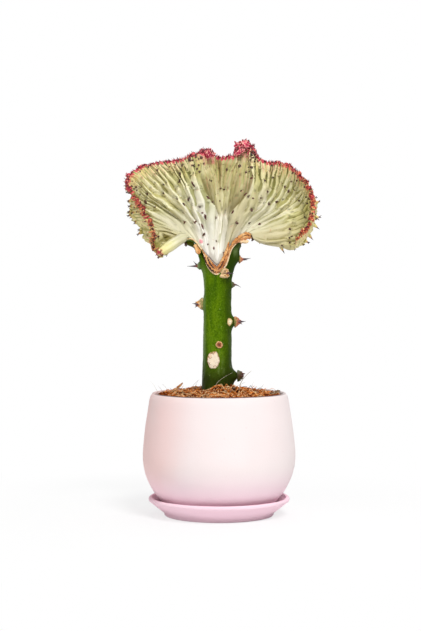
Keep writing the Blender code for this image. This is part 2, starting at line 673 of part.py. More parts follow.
def main():
    clear_scene()
    plant = new_collection("potted_coral_cactus")
    helpers = new_collection("cutters")
    build_saucer(plant)
    build_pot(plant)
    build_mix(plant, build_stock_cutter(helpers))
    build_husks(plant)
    build_fibres(plant)
    scion_space = as_helper(build_crest("scion_space", GAP, helpers))
    build_rootstock(plant, helpers, scion_space)
    build_callus(plant, helpers, scion_space)
    stock_space = as_helper(stem_loft("stock_space", GAP, POT_TOP_Z - 6 * MM, STEM_TOP_Z, helpers))
    for name in SHIELDS:
        build_shield(name, plant, helpers, stock_space)
    for name in SCARS:
        build_scar(name, plant, stock_space)
    build_crest("crested_scion", 0.0, plant, "crest_green")


main()
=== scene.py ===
import math

import bpy
import numpy as np
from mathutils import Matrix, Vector


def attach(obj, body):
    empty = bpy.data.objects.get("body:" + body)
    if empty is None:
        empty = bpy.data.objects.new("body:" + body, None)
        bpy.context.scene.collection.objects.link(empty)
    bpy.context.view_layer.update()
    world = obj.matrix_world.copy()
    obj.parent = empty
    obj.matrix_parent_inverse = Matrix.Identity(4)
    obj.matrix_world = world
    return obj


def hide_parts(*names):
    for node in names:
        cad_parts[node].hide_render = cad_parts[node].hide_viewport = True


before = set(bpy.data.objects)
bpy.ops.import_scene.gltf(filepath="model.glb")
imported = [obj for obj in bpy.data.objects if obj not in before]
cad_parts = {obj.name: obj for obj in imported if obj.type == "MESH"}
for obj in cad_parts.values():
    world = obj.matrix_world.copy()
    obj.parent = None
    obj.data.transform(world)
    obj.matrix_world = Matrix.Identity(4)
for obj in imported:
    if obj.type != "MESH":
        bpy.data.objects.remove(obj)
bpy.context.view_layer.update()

mm = 0.001  # shapes are worked out in mm and made in metres
print("frame loaded:", len(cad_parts), "nodes")


def smoothStep(low, high, value):  # 0 below low, 1 above high, a smooth S between them
    share = np.clip((value - low) / (high - low), 0, 1)
    return share * share * (3 - 2 * share)


def lookUp(table, x):  # rows of (x, value) read at x along straight lines
    return np.interp(x, *np.array(table).T)


def softly(t, table, reach=0.025):  # the same, averaged over a short reach
    return np.mean([lookUp(table, t + k * reach) for k in (-1, -0.5, 0, 0.5, 1)], axis=0)


# Catmull-Rom curve: each stretch is the cubic that meets its points with the slope of their neighbours
def through(points, at):
    points = np.asarray(points, float)
    ends = np.vstack([2 * points[0] - points[1], points, 2 * points[-1] - points[-2]])
    at = np.clip(np.asarray(at, float), 0, len(points) - 1)
    index = np.minimum(np.floor(at).astype(int), len(points) - 2)
    u = (at - index)[..., None]
    p0, p1, p2, p3 = (ends[index + k] for k in range(4))
    return 0.5 * (2 * p1 + (p2 - p0) * u + (2 * p0 - 5 * p1 + 4 * p2 - p3) * u**2 + (3 * p1 - p0 - 3 * p2 + p3) * u**3)


def unit(vectors):  # each vector divided by its length
    return vectors / np.maximum(np.linalg.norm(vectors, axis=-1, keepdims=True), 1e-12)


def ripple(points, size, seed, waves=7):  # sum of sine waves in random directions, each about one size long
    rng = np.random.default_rng(seed)
    ways = unit(rng.normal(size=(waves, points.shape[-1]))) * (2 * math.pi / size) * rng.uniform(0.6, 1.5, (waves, 1))
    return np.sin(points @ ways.T + rng.uniform(0, 2 * math.pi, waves)).sum(-1) / math.sqrt(waves)


def circle(sides):  # angles once round
    return np.linspace(0, 2 * math.pi, sides, endpoint=False)


def gridFaces(rows, columns, aroundRows=False):  # quads between neighbouring rows, each of which is a ring
    i, j = np.meshgrid(np.arange(rows if aroundRows else rows - 1), np.arange(columns), indexing="ij")
    below, beside = (i + 1) % rows, (j + 1) % columns
    return np.stack([below * columns + j, below * columns + beside, i * columns + beside, i * columns + j],
            -1).reshape(-1, 4)


def ringFaces(rings, sides):  # quads between rings, and triangles from the two points after them that close the ends
    j = np.arange(sides)
    k, low, end = (j + 1) % sides, (rings - 1) * sides, np.full(sides, rings * sides)
    ends = np.concatenate([np.stack([end, j, k], -1), np.stack([end + 1, low + k, low + j], -1)])
    return [gridFaces(rings, sides), ends]


def closed(rings, first, last):  # rings of points as one closed shell, with a point in the middle of each end
    rings = np.asarray(rings)
    return np.concatenate([rings.reshape(-1, 3), [first, last]]), ringFaces(*rings.shape[:2])


def repeated(points, faces):  # the same faces for each of several equal sets of points
    steps = (np.arange(len(points)) * points.shape[1])[:, None, None]
    return points.reshape(-1, 3), [(part + steps).reshape(-1, part.shape[1]) for part in faces]


def turnedOver(faces):  # the same faces seen from the other side
    return [np.flip(part, 1) for part in faces]


def makePiece(name, shells, skin, replaced=()):
    # Each shell has points in mm, arrays of faces, one row a face, and numbers kept at each point for the skin
    starts = np.cumsum([0] + [len(points) for points, _, _ in shells])
    faces = [part + start for (_, parts, _), start in zip(shells, starts) for part in parts]
    points = (np.concatenate([points for points, _, _ in shells]) * mm).astype(np.float32)
    mesh = bpy.data.meshes.new(name)
    mesh.vertices.add(len(points))
    mesh.vertices.foreach_set("co", points.ravel())
    counts = np.concatenate([np.full(len(part), part.shape[1]) for part in faces])
    corners = np.concatenate([part.ravel() for part in faces]).astype(np.int32)
    mesh.loops.add(len(corners))
    mesh.loops.foreach_set("vertex_index", corners)
    mesh.polygons.add(len(counts))
    mesh.polygons.foreach_set("loop_start", np.concatenate([[0], np.cumsum(counts)[:-1]]).astype(np.int32))
    mesh.polygons.foreach_set("loop_total", counts.astype(np.int32))
    mesh.update(calc_edges=True)
    mesh.validate()
    for key in shells[0][2]:
        numbers = np.concatenate([np.ravel(values[key]) for _, _, values in shells])
        mesh.attributes.new(key, "FLOAT", "POINT").data.foreach_set("value", numbers.astype(np.float32))
    mesh.shade_smooth()
    mesh.materials.append(skin)
    piece = bpy.data.objects.new(name, mesh)
    bpy.context.scene.collection.objects.link(piece)
    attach(piece, "root")
    if replaced:
        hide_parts(*replaced)
    print("made", name, len(counts), "faces")


# a small shape copied to each place: place + size * (x * side + y * ahead + z * out)
def scatter(shape, places, frames, sizes):
    points, faces = shape
    sizes = np.broadcast_to(sizes, (len(places), 3))
    return repeated(places[:, None] + np.einsum("nk,mk,nkd->nmd", sizes, points, frames), faces)


def framesFrom(ahead, out):  # side, ahead and out directions at right angles to each other
    ahead = unit(ahead)
    side = unit(np.cross(ahead, out))
    return np.stack([side, ahead, np.cross(side, ahead)], axis=1)


def tubes(paths, radii, sides):  # circles carried along each path, closed with a point at both ends
    paths, radii = np.asarray(paths, float), np.asarray(radii, float)
    along = unit(np.gradient(paths, axis=1))
    helper = np.where(np.abs(along[:, :1, 2:]) < 0.8, [0, 0, 1], [1, 0, 0])
    side = unit(np.cross(along, helper))
    over = np.cross(side, along)
    turn = circle(sides)[:, None]
    rings = paths[:, :, None] + (np.cos(turn) * side[:, :, None] + np.sin(turn) * over[:, :, None]) * radii[..., None, None]
    points = np.concatenate([rings.reshape(len(paths), -1, 3), paths[:, :1], paths[:, -1:]], axis=1)
    return repeated(points, ringFaces(paths.shape[1], sides))


def strip(path, out, halfWidth, halfThickness, seed, sides=14, curl=0.35):
    # Flat oval rings along a path, wider than thick and facing out, with edges curled up and wavy sides
    path = through(path, np.linspace(0, len(path) - 1, 12 * len(path)))
    steps = len(path)
    along = unit(np.gradient(path, axis=0))
    out = unit(out - along * (out * along).sum(-1, keepdims=True))
    across = np.cross(along, out)
    share = np.linspace(0, 1, steps)
    taper = np.sqrt(np.clip(1 - (2 * share - 1) ** 4, 0.03, 1))
    wave = ripple(np.stack([share * steps * 0.5, np.full(steps, seed * 7.0)], -1), 4, seed)
    w, h = (halfWidth * taper * (1 + 0.22 * wave))[:, None, None], (halfThickness * taper)[:, None, None]
    c, s = np.cos(circle(sides))[None, :, None], np.sin(circle(sides))[None, :, None]
    rings = path[:, None] + across[:, None] * w * c + out[:, None] * (h * s + curl * w * c**2)
    rim = np.concatenate([np.broadcast_to(c[0, :, 0], (steps, sides)).ravel(), [0.8, 0.8]])  # -1 and 1 at the sides
    return *closed(rings, path[0], path[-1]), rim


work = {}  # the node tree that the next functions add to, and its coordinates


def begin(name):  # a new material
    work["material"] = bpy.data.materials.new(name)
    work["material"].use_nodes = True
    work["tree"] = work["material"].node_tree
    work["coords"] = objectCoords()


def add(kind, inputs=None, **settings):
    made = work["tree"].nodes.new("ShaderNode" + kind)
    for key, value in settings.items():
        setattr(made, key, value)
    connect(made, inputs or {})
    return made


def connect(node, inputs):
    for key, value in inputs.items():
        if isinstance(value, bpy.types.NodeSocket):
            work["tree"].links.new(value, node.inputs[key])
        else:
            node.inputs[key].default_value = value


def attribute(name):
    return add("Attribute", attribute_name=name).outputs["Fac"]


def objectCoords(stretch=(1, 1, 1)):
    return add("Mapping", {"Vector": add("TexCoord").outputs["Object"], "Scale": stretch}).outputs["Vector"]


def noise(scale, detail=3, rough=0.5, bend=0, stretch=None):
    coords = objectCoords(stretch) if stretch else work["coords"]
    return add("TexNoise", {"Vector": coords, "Scale": scale, "Detail": detail, "Roughness": rough,
            "Distortion": bend}).outputs["Fac"]


def between(value, low, high, start=0, end=1):  # value from low..high to start..end, eased
    inputs = {"Value": value, "From Min": low, "From Max": high, "To Min": start, "To Max": end}
    return add("MapRange", inputs, interpolation_type="SMOOTHSTEP").outputs["Result"]


def spread(value, start, end):  # a noise, which seldom leaves 0.3..0.7, over start..end
    return between(value, 0.3, 0.7, start, end)


def calc(operation, *values):  # the operation on the first two values, then on its result and the next
    result = values[0]
    for value in values[1:] or (0,):
        result = add("Math", {0: result, 1: value}, operation=operation).outputs[0]
    return result


def times(*values):
    return calc("MULTIPLY", *values)


def plus(*values):
    return calc("ADD", *values)


def minus(a, b):
    return calc("SUBTRACT", a, b)


def paint(colour):  # a colour as shown on screen, 0 to 255, as linear light; a socket stays as it is
    if isinstance(colour, bpy.types.NodeSocket):
        return colour
    shown = np.array(colour) / 255
    light = np.where(shown <= 0.04045, shown / 12.92, ((shown + 0.055) / 1.055) ** 2.4)
    return (*[float(c) for c in light], 1.0)


def ramp(value, *stops):  # each stop is a value and the red, green and blue there
    node = add("ValToRGB", {"Fac": value})
    band = node.color_ramp
    for k, (at, *colour) in enumerate(stops):
        stop = band.elements[k] if k < 2 else band.elements.new(at)
        stop.position, stop.color = at, paint(colour)
    return node.outputs["Color"]


def mixed(share, a, b):
    return add("Mix", {0: share, 6: paint(a), 7: paint(b)}, data_type="RGBA").outputs[2]


def finish(colour, bump, rough, specular=0.5):
    # bump is a height with its depth in m and its strength; rough is a number, or a noise and the roughness it runs over
    height, depth, strength = bump
    normal = add("Bump", {"Height": height, "Distance": depth, "Strength": strength}).outputs["Normal"]
    rough = spread(*rough) if isinstance(rough, tuple) else rough
    connect(work["tree"].nodes["Principled BSDF"], {"Base Color": colour, "Normal": normal, "Roughness": rough,
            "Specular IOR Level": specular})
    return work["material"]


# The fan. Each station gives, in mm, a point on the growing edge, a point half way down and the x of its foot.
fan = dict(
    stations=((-45, -19, 203, -37, -5, 207, -27.2), (-51, -26, 210, -47, -4, 212.5, -26.8), (-49.5, -31, 219.5, -54.5,
            -1, 220.5, -26), (-52, -34, 228.5, -60, 3, 227.5, -24.8), (-58.2, -32, 238.5, -63.5, 7, 234.5, -23),
            (-65.2, -25, 248.5, -60, 10, 240, -21), (-71.8, -15, 258, -51, 10, 243.5, -18.8),
            (-70.5, -6, 266, -42, 8, 244.5, -16.4), (-62.5, -1, 272.5, -34.5, 5, 245, -14), (-52, 0, 275.5, -28.5, 2,
            245.5, -11.8), (-41, -1, 277, -23.5, -1, 246, -9.8), (-31.5, -4, 277.5, -19, -4, 246, -8),
            (-24, -9, 280, -13.5, -6, 246, -6.4), (-18, -8, 282.6, -9, -7, 246, -5), (-14.5, 0, 283, -5.6, -4, 245.5,
            -3.8), (-10.5, 8, 283.8, -3.6, 1, 245.5, -2.6), (-5, 8, 282.5, -1.6, 5, 245, -1.4),
            (1.5, 4, 280.5, 1.2, 6, 245, 0), (8, 1, 281, 4.2, 6, 245, 1), (13.9, 3, 283.6, 7.2, 4, 245, 2),
            (13.8, 10, 289.4, 9.8, 0, 245.5, 3), (18, 14, 293.8, 12.6, -5, 245.5, 4.2), (24.2, 9, 292.6, 16.6, -8,
            246, 5.6), (27.6, 0, 286.5, 21.4, -8, 246, 7.2), (31.5, -6, 279, 27, -6, 246, 9.2),
            (38, -7, 275.5, 31.5, -3, 245.5, 11.6), (45.5, -4, 276, 37, 1, 245, 14.2), (54, -2, 274, 44, 6, 244.5,
            17), (61.5, -4, 268, 51.5, 9, 243, 19.6), (68, -10, 259.5, 58.5, 10, 239.5, 21.8),
            (71.5, -18, 249.5, 63.5, 8, 233.5, 23.5), (71.5, -26, 239, 65, 4, 226.5, 24.8),
            (69.5, -32, 230, 62, 0, 219.5, 25.7), (65, -35, 222, 57.5, -3, 212, 26.3), (58.5, -36, 216, 51, -5, 207.5,
            26.6)),
    footLine=((-34, 214.9), (-28.2, 216), (-27.2, 217), (-22.7, 217.2), (-18.6, 214.8), (-15.5, 211.4),
            (-12.4, 207.6), (-9.8, 204.4), (-6.6, 200.8), (-4.2, 197.8), (-1.8, 195.6), (0.2, 197.6), (2.4, 200.8),
            (4.7, 205), (7, 209.4), (9.6, 212.8), (12.4, 215.2), (15.2, 217.4), (19, 219.8), (22.7, 220.8),
            (26.6, 220.2), (27.6, 218.6), (34, 216.5)),
    footRise=24,  # mm, steepens the start of the fan
    halfThickness=((0, 9), (0.06, 8.2), (0.15, 6.3), (0.32, 3.9), (0.55, 2.2), (0.8, 1.7), (0.93, 1.4), (1, 1.1)),
    ridges=128,  # finest ridges from end to end of the growing edge, a multiple of 8
    columns=6,  # grid columns to a finest ridge, an even number
    edge=0.975,  # share of the way to the rim tips at which the flesh ends
    roundedEnd=0.0278,  # share of the rim over which each end is rounded
    split=0.6,  # below this share the grid has half the columns
    rows=(40, 56),  # rows below and above the split, on the front
    ridgeHeight=((0, 0), (0.08, 0.2), (0.2, 0.9), (0.3, 1.9), (0.45, 2.9), (0.65, 2.8), (0.8, 2.3), (0.93, 1.8), (1, 1.1)),
    forkings=(0.22, 0.45, 0.7, 0.99),  # shares at which the ridges have doubled 0, 1, 2 and 3 times
    starts=((0.02, 0.12), (0.12, 0.38), (0.42, 0.68), (0.84, 0.97)),  # where ridges of each doubling start
    toothGap=((0, 0.3), (0.55, 0.2), (0.8, 0.12), (0.93, 0.07), (1, 0.05)),
    levelHeight=(1.25, 1, 0.8, 0.6),  # heights of the ridges of each doubling against the first
    endSooner=0.2,  # how much sooner, in share of the way, the ridges rise and fork near the ends of the rim
    # half width of a ridge at its tubercles and what it gains between them, against the spacing
    tipWidth=0.4, fullWidth=0.3,
    # roundness of a ridge, and how much of its height it loses behind a tubercle, low and high
    domePower=2.1, domeDrop=(0.12, 0.5),
    keelHeight=0.16,  # height of the keel at a tubercle against the ridge's
    paintedSideLight=0.45,  # how much paler a ridge is painted on its upper side than on its lower: painted light from above, painted shade below
    sway=((0.14, 8), (0.1, 19), (0.05, 37)),  # how far a ridge sways, against the spacing, and its turns in radians
    toothDrop=0.028,  # share of the way over which a ridge falls behind a tubercle
    # how far in mm the right end hangs down by share of the way, and where along the rim that starts
    sag=((0, 4), (0.07, 5), (0.15, 4.4), (0.25, 2.8), (0.36, 0.8), (0.46, 0)), sagFrom=0.9,
    # the sheet's middle, set back and nearly smooth, widens upwards: share, first and last station
    panel=((0.3, 16.4, 18.6), (0.32, 15.3, 20), (0.38, 14.5, 21.4), (0.46, 13.3, 22.3), (0.56, 12.7, 23),
            (0.72, 12.5, 23.2), (0.85, 13, 22.6), (1, 14.2, 21.4)),
    panelCalm=0.75, panelDepth=2.2,  # share of the ridges' height lost there, and how far it is set back, mm
    panelShade=0.06,  # share of the rim over which painted shade darkens the set back middle along its edge
    # share along the rim and how much painted shade darkens the lower part of the sheet there
    paintedShading=((0, 0.5), (0.07, 0.45), (0.14, 0), (0.56, 0), (0.64, 0.8), (0.7, 0.6), (0.76, 0), (0.88, 0.1), (0.93, 0.6),
            (1, 0.7)),
    # the same for where painted light makes its middle part lighter
    lift=((0.14, 0), (0.2, 0.8), (0.3, 0.6), (0.36, 0), (0.54, 0), (0.58, 0.3), (0.62, 0), (0.73, 0), (0.78, 0.5),
            (0.84, 0.4), (0.88, 0)),
    fibres=(88, 2.2, 0.16),  # waves along the rim and up the fan, and the height in mm, of the fine fibres on the ridges
    # furrows and, with a depth below zero, swellings: station, first and last share, depth in mm, half width in stations
    creases=((0.9, 0.1, 1, 2.6, 0.3), (1.6, 0.3, 1, -1.8, 0.3), (2.4, 0.45, 1, 2.6, 0.25), (5.2, 0.6, 1, 1.6, 0.3),
            (11.2, 0.02, 0.44, 1.3, 0.2), (15.1, 0.02, 0.46, 1.5, 0.22), (16.8, 0.5, 1, 1.2, 0.3),
            (22.6, 0, 0.4, 1.4, 0.24), (24.4, 0.1, 0.56, 1.5, 0.22), (25.6, 0.5, 1, 1.6, 0.3),
            (29.4, 0.66, 1, 0.9, 0.16), (30.3, 0.6, 1, -1, 0.2), (31.2, 0.55, 1, 2, 0.2), (32.5, 0.6, 1, 1.4, 0.16)),
    frill=0.5,  # mm, how far the growing edge waves to and fro
    peaks=((12.6, 13.8, 15.6, 16.6), (19.2, 20, 22, 23)),  # stations of the two flushed peaks
    seed=4,
)


# Where the sheet's lower left end rolls forward: points and radii in mm from the foot to the growing edge.
roll = dict(path=((-26, -3, 218), (-29.2, -8.6, 216.6), (-32.8, -12.6, 214.1), (-37.9, -16.6, 210.6),
        (-43, -20.6, 207.2), (-46.6, -23.6, 204.9)), radii=(2.4, 4.1, 4.3, 4.3, 4.2, 3), sides=28, steps=60)
stations = np.array(fan["stations"])
fanEdges, fanWaists, fanFeet = stations[:, :3], stations[:, 3:6], stations[:, 6:]
fineStations = np.linspace(0, len(fanEdges) - 1, 1600)
edgeLength = np.linalg.norm(np.diff(through(fanEdges, fineStations), axis=0), axis=1).cumsum()
edgeLength = np.concatenate([[0], edgeLength]) / edgeLength[-1]


def fanSheet(s, t):  # parabola in t through foot, waist and edge at share s of the rim's length, lifted near the foot
    at = np.interp(s, edgeLength, fineStations)
    edge, waist, footX = through(fanEdges, at), through(fanWaists, at), through(fanFeet, at)[..., 0]
    foot = np.stack([footX, 0 * footX, lookUp(fan["footLine"], footX)], -1)
    k = t[..., None]
    sheet = foot * (1 - k) * (1 - 2 * k) + waist * 4 * k * (1 - k) + edge * k * (2 * k - 1)
    sheet[..., 2] += fan["footRise"] * t * (1 - t) ** 3
    sheet[..., 2] -= lookUp(fan["sag"], t) * smoothStep(fan["sagFrom"], 1, s)
    return sheet


# the sheet's normal, averaged along the rim, turned to the front at the foot
def fanAcross(columns=433, rows=25, passes=128):
    t, s = np.meshgrid(np.linspace(0, 1, rows), np.linspace(0, 1, columns), indexing="ij")
    sheet = fanSheet(s, t)
    across = unit(np.cross(np.gradient(sheet, axis=1), np.gradient(sheet, axis=0)))
    for _ in range(passes):
        across[:, 1:-1] = (across[:, :-2] + 2 * across[:, 1:-1] + across[:, 2:]) / 4
    share = smoothStep(0.08, 0.75, t)[..., None]
    return unit(unit(across) * share + np.array([0, -1, 0]) * (1 - share))


acrossTable = fanAcross()


def readTable(table, s, t):  # bilinear reading of a table over t and s
    row, column = t * (table.shape[0] - 1), np.clip(s, 0, 1) * (table.shape[1] - 1)
    i = np.clip(np.floor(row).astype(int), 0, table.shape[0] - 2)
    j = np.clip(np.floor(column).astype(int), 0, table.shape[1] - 2)
    a, b = (row - i)[..., None], (column - j)[..., None]
    upper, lower = (table[k, j] * (1 - b) + table[k, j + 1] * b for k in (i, i + 1))
    return upper * (1 - a) + lower * a


def ridgePlaces(rng):  # each coarse gap is cut in two three times, never quite in the middle
    places = np.cumsum(np.concatenate([[0], rng.uniform(0.78, 1.22, fan["ridges"] // 8)]))
    for _ in range(3):
        middle = places[:-1] + np.diff(places) * rng.uniform(0.36, 0.64, len(places) - 1)
        places = np.sort(np.concatenate([places, middle]))
    return places / places[-1]


rimRandom = np.random.default_rng(fan["seed"])
ridgeShare = ridgePlaces(rimRandom)
ridgeNumber = np.arange(fan["ridges"] + 1)
ridgeLevel = np.select([ridgeNumber % 8 == 0, ridgeNumber % 8 == 4, ridgeNumber % 4 == 2], [0, 1, 2], 3)


def towardsEnd(s):  # how much sooner the ridges rise and fork near the two ends of the rim
    return fan["endSooner"] * smoothStep(0.22, 0.42, np.abs(s - 0.5))


def ridgeTeeth(rng):  # for each ridge the share where it starts and the shares of its tubercles
    lows, highs = np.array(fan["starts"])[ridgeLevel].T
    starts = np.maximum(rng.uniform(lows, highs) - towardsEnd(ridgeShare), 0.02)
    teeth = []
    for start in starts:
        tips = [start + rng.uniform(0.03, 0.15)]
        while tips[-1] < 1:
            tips.append(tips[-1] + lookUp(fan["toothGap"], tips[-1]) * rng.uniform(0.75, 1.25))
        teeth.append(tips)
    return starts, teeth


def ridgeSpacing(t):  # distance between ridges in finest gaps: 8, halved at each forking
    return 8 * 2 ** -np.interp(t, fan["forkings"], (0, 1, 2, 3))


def ridgeRelief(rng, t, s):
    # Height over the body at each row and column. Across, a ridge is a low dome, one less a power of the distance from
    # its line, with a narrow keel on it. Along, the keel climbs to each tubercle and drops behind it, and the dome a
    # little with it. Where ridges meet, the highest counts, softened by a power sum.
    starts, teeth = ridgeTeeth(rng)
    bold, tints = rng.uniform(0.55, 1.35, fan["ridges"] + 1), rng.random(fan["ridges"] + 1)
    swing = rng.uniform(0, 2 * math.pi, (3, fan["ridges"] + 1, 1))
    sway = sum(share * np.sin(turns * t + swing[k]) for k, (share, turns) in enumerate(fan["sway"]))
    climb, height, falls = [], [], []
    for start, tips, level, end, tall in zip(starts, teeth, ridgeLevel, towardsEnd(ridgeShare), bold):
        marks = np.array([start - 0.06] + tips)
        index = np.clip(np.searchsorted(marks, t) - 1, 0, len(marks) - 2)
        rising = (t - marks[index]) / (marks[index + 1] - marks[index])
        falling = np.where(index > 0, 1 - (t - marks[index]) / fan["toothDrop"], 0)
        climb.append(np.clip(np.maximum(rising, falling), 0, 1))
        falls.append(falling > np.maximum(rising, 0))
        full = lookUp(fan["ridgeHeight"], t + end) * tall
        height.append(full * smoothStep(start - 0.08, start + 0.12, t) * fan["levelHeight"][level])
    climb, height, falls = np.array(climb), np.array(height), np.array(falls)
    drops = np.interp(t, (0.35, 0.65), fan["domeDrop"])[:, None]
    q = np.arange(fan["ridges"] * fan["columns"] + 1) / fan["columns"]
    spacing = ridgeSpacing(t[:, None] + towardsEnd(s))
    upper = -np.sign(s - 0.5)  # which way along the rim is up
    lines = ridgeNumber[:, None] + sway * ridgeSpacing(t + towardsEnd(ridgeShare)[:, None])
    total, weights, sums = 0, 1e-9, dict(cusp=0, climb=0, tint=0, drop=0)
    for first, step in ((0, 8), (4, 8), (2, 4), (1, 2)):
        base = np.floor((q - first) / step)
        for k in (0, 1):
            ridge = np.clip((first + (base + k) * step).astype(int), 0, fan["ridges"])
            offset, phase = (lines[ridge].T - q) / spacing, climb[ridge].T
            away = np.abs(offset)
            reach = fan["tipWidth"] + fan["fullWidth"] * np.sin(math.pi * phase**1.4)
            low = 1 - np.clip(away / reach, 0, 1) ** fan["domePower"]
            sharp = np.clip(1 - away / (0.36 - 0.12 * phase), 0, 1) * phase**3
            rise = height[ridge].T * (low * (1 - drops * (1 - phase)) + fan["keelHeight"] * sharp)
            total = total + rise**6
            weights = weights + rise**4
            # keel share, raised on a ridge's upper side and lowered on its lower side as painted light and painted
            # shade
            cusp = np.clip(1 - 1.7 * away, 0, 1) + fan["paintedSideLight"] * np.clip(offset * upper, -0.6, 0.6)
            for key, value in dict(cusp=cusp, climb=phase, tint=tints[ridge], drop=falls[ridge].T).items():
                sums[key] = sums[key] + rise**4 * value
    return total ** (1 / 6), dict(lines=lines, teeth=teeth, **{key: value / weights for key, value in sums.items()})


def fanShares():  # shares of the way to the rim tips, one a row, and the share along the rim of each column
    low, high = fan["rows"]
    t = np.concatenate([np.linspace(0, fan["split"], low + 1), np.linspace(fan["split"], fan["edge"], high + 1)[1:]])
    s = np.interp(np.arange(fan["ridges"] * fan["columns"] + 1) / fan["columns"], ridgeNumber, ridgeShare)
    return t, s


def stretch(s, stations):  # 1 along the rim between the middle two of four stations, falling to 0 at the outer two
    a, b, c, d = np.interp(stations, fineStations, edgeLength)
    return smoothStep(a, b, s) * smoothStep(d, c, s)


def panelShare(s, t):  # 1 on the set back middle of the fan, 0 beside it, with a steep edge, and how near that edge is
    share, first, last = np.array(fan["panel"]).T
    a, b = (np.interp(np.interp(t, share, line), fineStations, edgeLength) for line in (first, last))
    inside = smoothStep(a - 0.004, a + 0.004, s) * smoothStep(b + 0.004, b - 0.004, s) * smoothStep(share[0],
            share[0] + 0.12, t)
    return inside, inside * np.clip(1 - np.minimum(s - a, b - s) / fan["panelShade"], 0, 1)


def fanSide(side, rng):  # one face of the fan: the sheet pushed out by half its thickness and its ridges
    t, s = fanShares()
    relief, looks = ridgeRelief(rng, t, s)
    rows, columns = np.meshgrid(t, s, indexing="ij")
    panel, nearEdge = panelShare(columns, rows)
    upper = smoothStep(0.97, 0.8, rows)
    relief = relief * (1 - fan["panelCalm"] * panel * upper) - fan["panelDepth"] * panel * upper * (1 - 0.5 * rows)
    wave = ripple(np.stack([columns * 30, rows * 3], -1), 3, 5 + side)
    along = np.clip(columns + 0.0055 * wave * 4 * rows * (1 - rows), 0, 1)
    reach = rows + 0.006 * ripple(columns[..., None] * 60, 2, 8) * smoothStep(fan["split"], 1, rows)
    normal = readTable(acrossTable, along, np.clip(reach, 0, 1))
    frill = fan["frill"] * ripple(columns[..., None] * 60, 1.9, 90) * smoothStep(0.5, 1, rows) ** 2
    sheet = fanSheet(along, reach) + normal * frill[..., None]
    fromEnd = np.minimum(columns, 1 - columns) / fan["roundedEnd"]
    rounding = np.sqrt(1 - (1 - np.clip(fromEnd + 0.02, 0, 1)) ** 2)
    # fold carries painted shade: along the inner edge of the set back middle here, in the furrows below
    fold = 1.3 * nearEdge * smoothStep(0.85, 0.6, rows)
    waves, turns, tall = fan["fibres"]
    fibre = np.clip(ripple(np.stack([columns * waves, rows * turns], -1), 1, 31 + side) / 2, -1, 1)
    relief = relief + tall * fibre * smoothStep(0.05, 0.2, rows) * smoothStep(0.75, 0.5, rows)
    for station, first, last, depth, wide in fan["creases"]:
        middle, end = np.interp((station, station + wide), fineStations, edgeLength)
        dip = np.exp(-(((columns - middle) / (end - middle)) ** 2)) * smoothStep(first, first + 0.25, rows)
        dip = dip * (smoothStep(last, last - 0.18, rows) if last < 1 else 1)
        relief = relief - depth * dip * smoothStep(1, 0.86, rows)
        # painted shade in each furrow, painted light on each swelling
        fold = np.maximum(fold, dip**4 * np.sign(depth))
    body = softly(t, fan["halfThickness"])[:, None]
    lumps = 0.1 * ripple(sheet, 4, 21 + side) * smoothStep(0.05, 0.3, rows)
    half = (body + relief + lumps) * rounding
    # painted shade on the lower sheet and painted light on its middle, by place along the rim
    paintedShading = lookUp(fan["paintedShading"], columns) * smoothStep(0.85, 0.45, rows)
    paintedShading = paintedShading - lookUp(fan["lift"], columns) * smoothStep(0.3, 0.5, rows) * smoothStep(0.95, 0.8, rows)
    return dict(points=sheet + side * normal * half[..., None], sheet=sheet, across=side * normal, half=half,
            fold=fold, reach=reach, along=columns, t=t, panel=panel, fibre=fibre, paintedShading=paintedShading, **looks)


def overEdge(front):  # direction from the body over the growing edge
    return unit(front["sheet"][-1] - front["sheet"][-6])


def rimCap(front, back):  # half circles from the last front row over the growing edge to the last back row
    lumps = 1 + 0.35 * np.clip(ripple(front["sheet"][-1], 1.6, 55), -1, 1)
    bulge = (0.75 + 0.35 * front["cusp"][-1]) * lumps * (front["half"][-1] + back["half"][-1]) / 2
    rows = []
    for turn in np.radians((36, 72, 108, 144)):
        half = (front if math.cos(turn) > 0 else back)["half"][-1]
        out = front["across"][-1] * math.cos(turn) * half[:, None]
        rows.append(front["sheet"][-1] + overEdge(front) * (bulge * math.sin(turn))[:, None] + out)
    return rows


def stitch(a, b):  # faces between two rows of point numbers, b the next row; one may have twice as many gaps as the other
    if len(a) < len(b):
        return turnedOver(stitch(b, a))
    if len(a) == len(b):
        return [np.stack([a[:-1], a[1:], b[1:], b[:-1]], -1)]
    return [np.stack([a[:-1:2], a[1::2], b[:-1]], -1), np.stack([a[1::2], b[1:], b[:-1]], -1),
            np.stack([a[1::2], a[2::2], b[1:]], -1)]


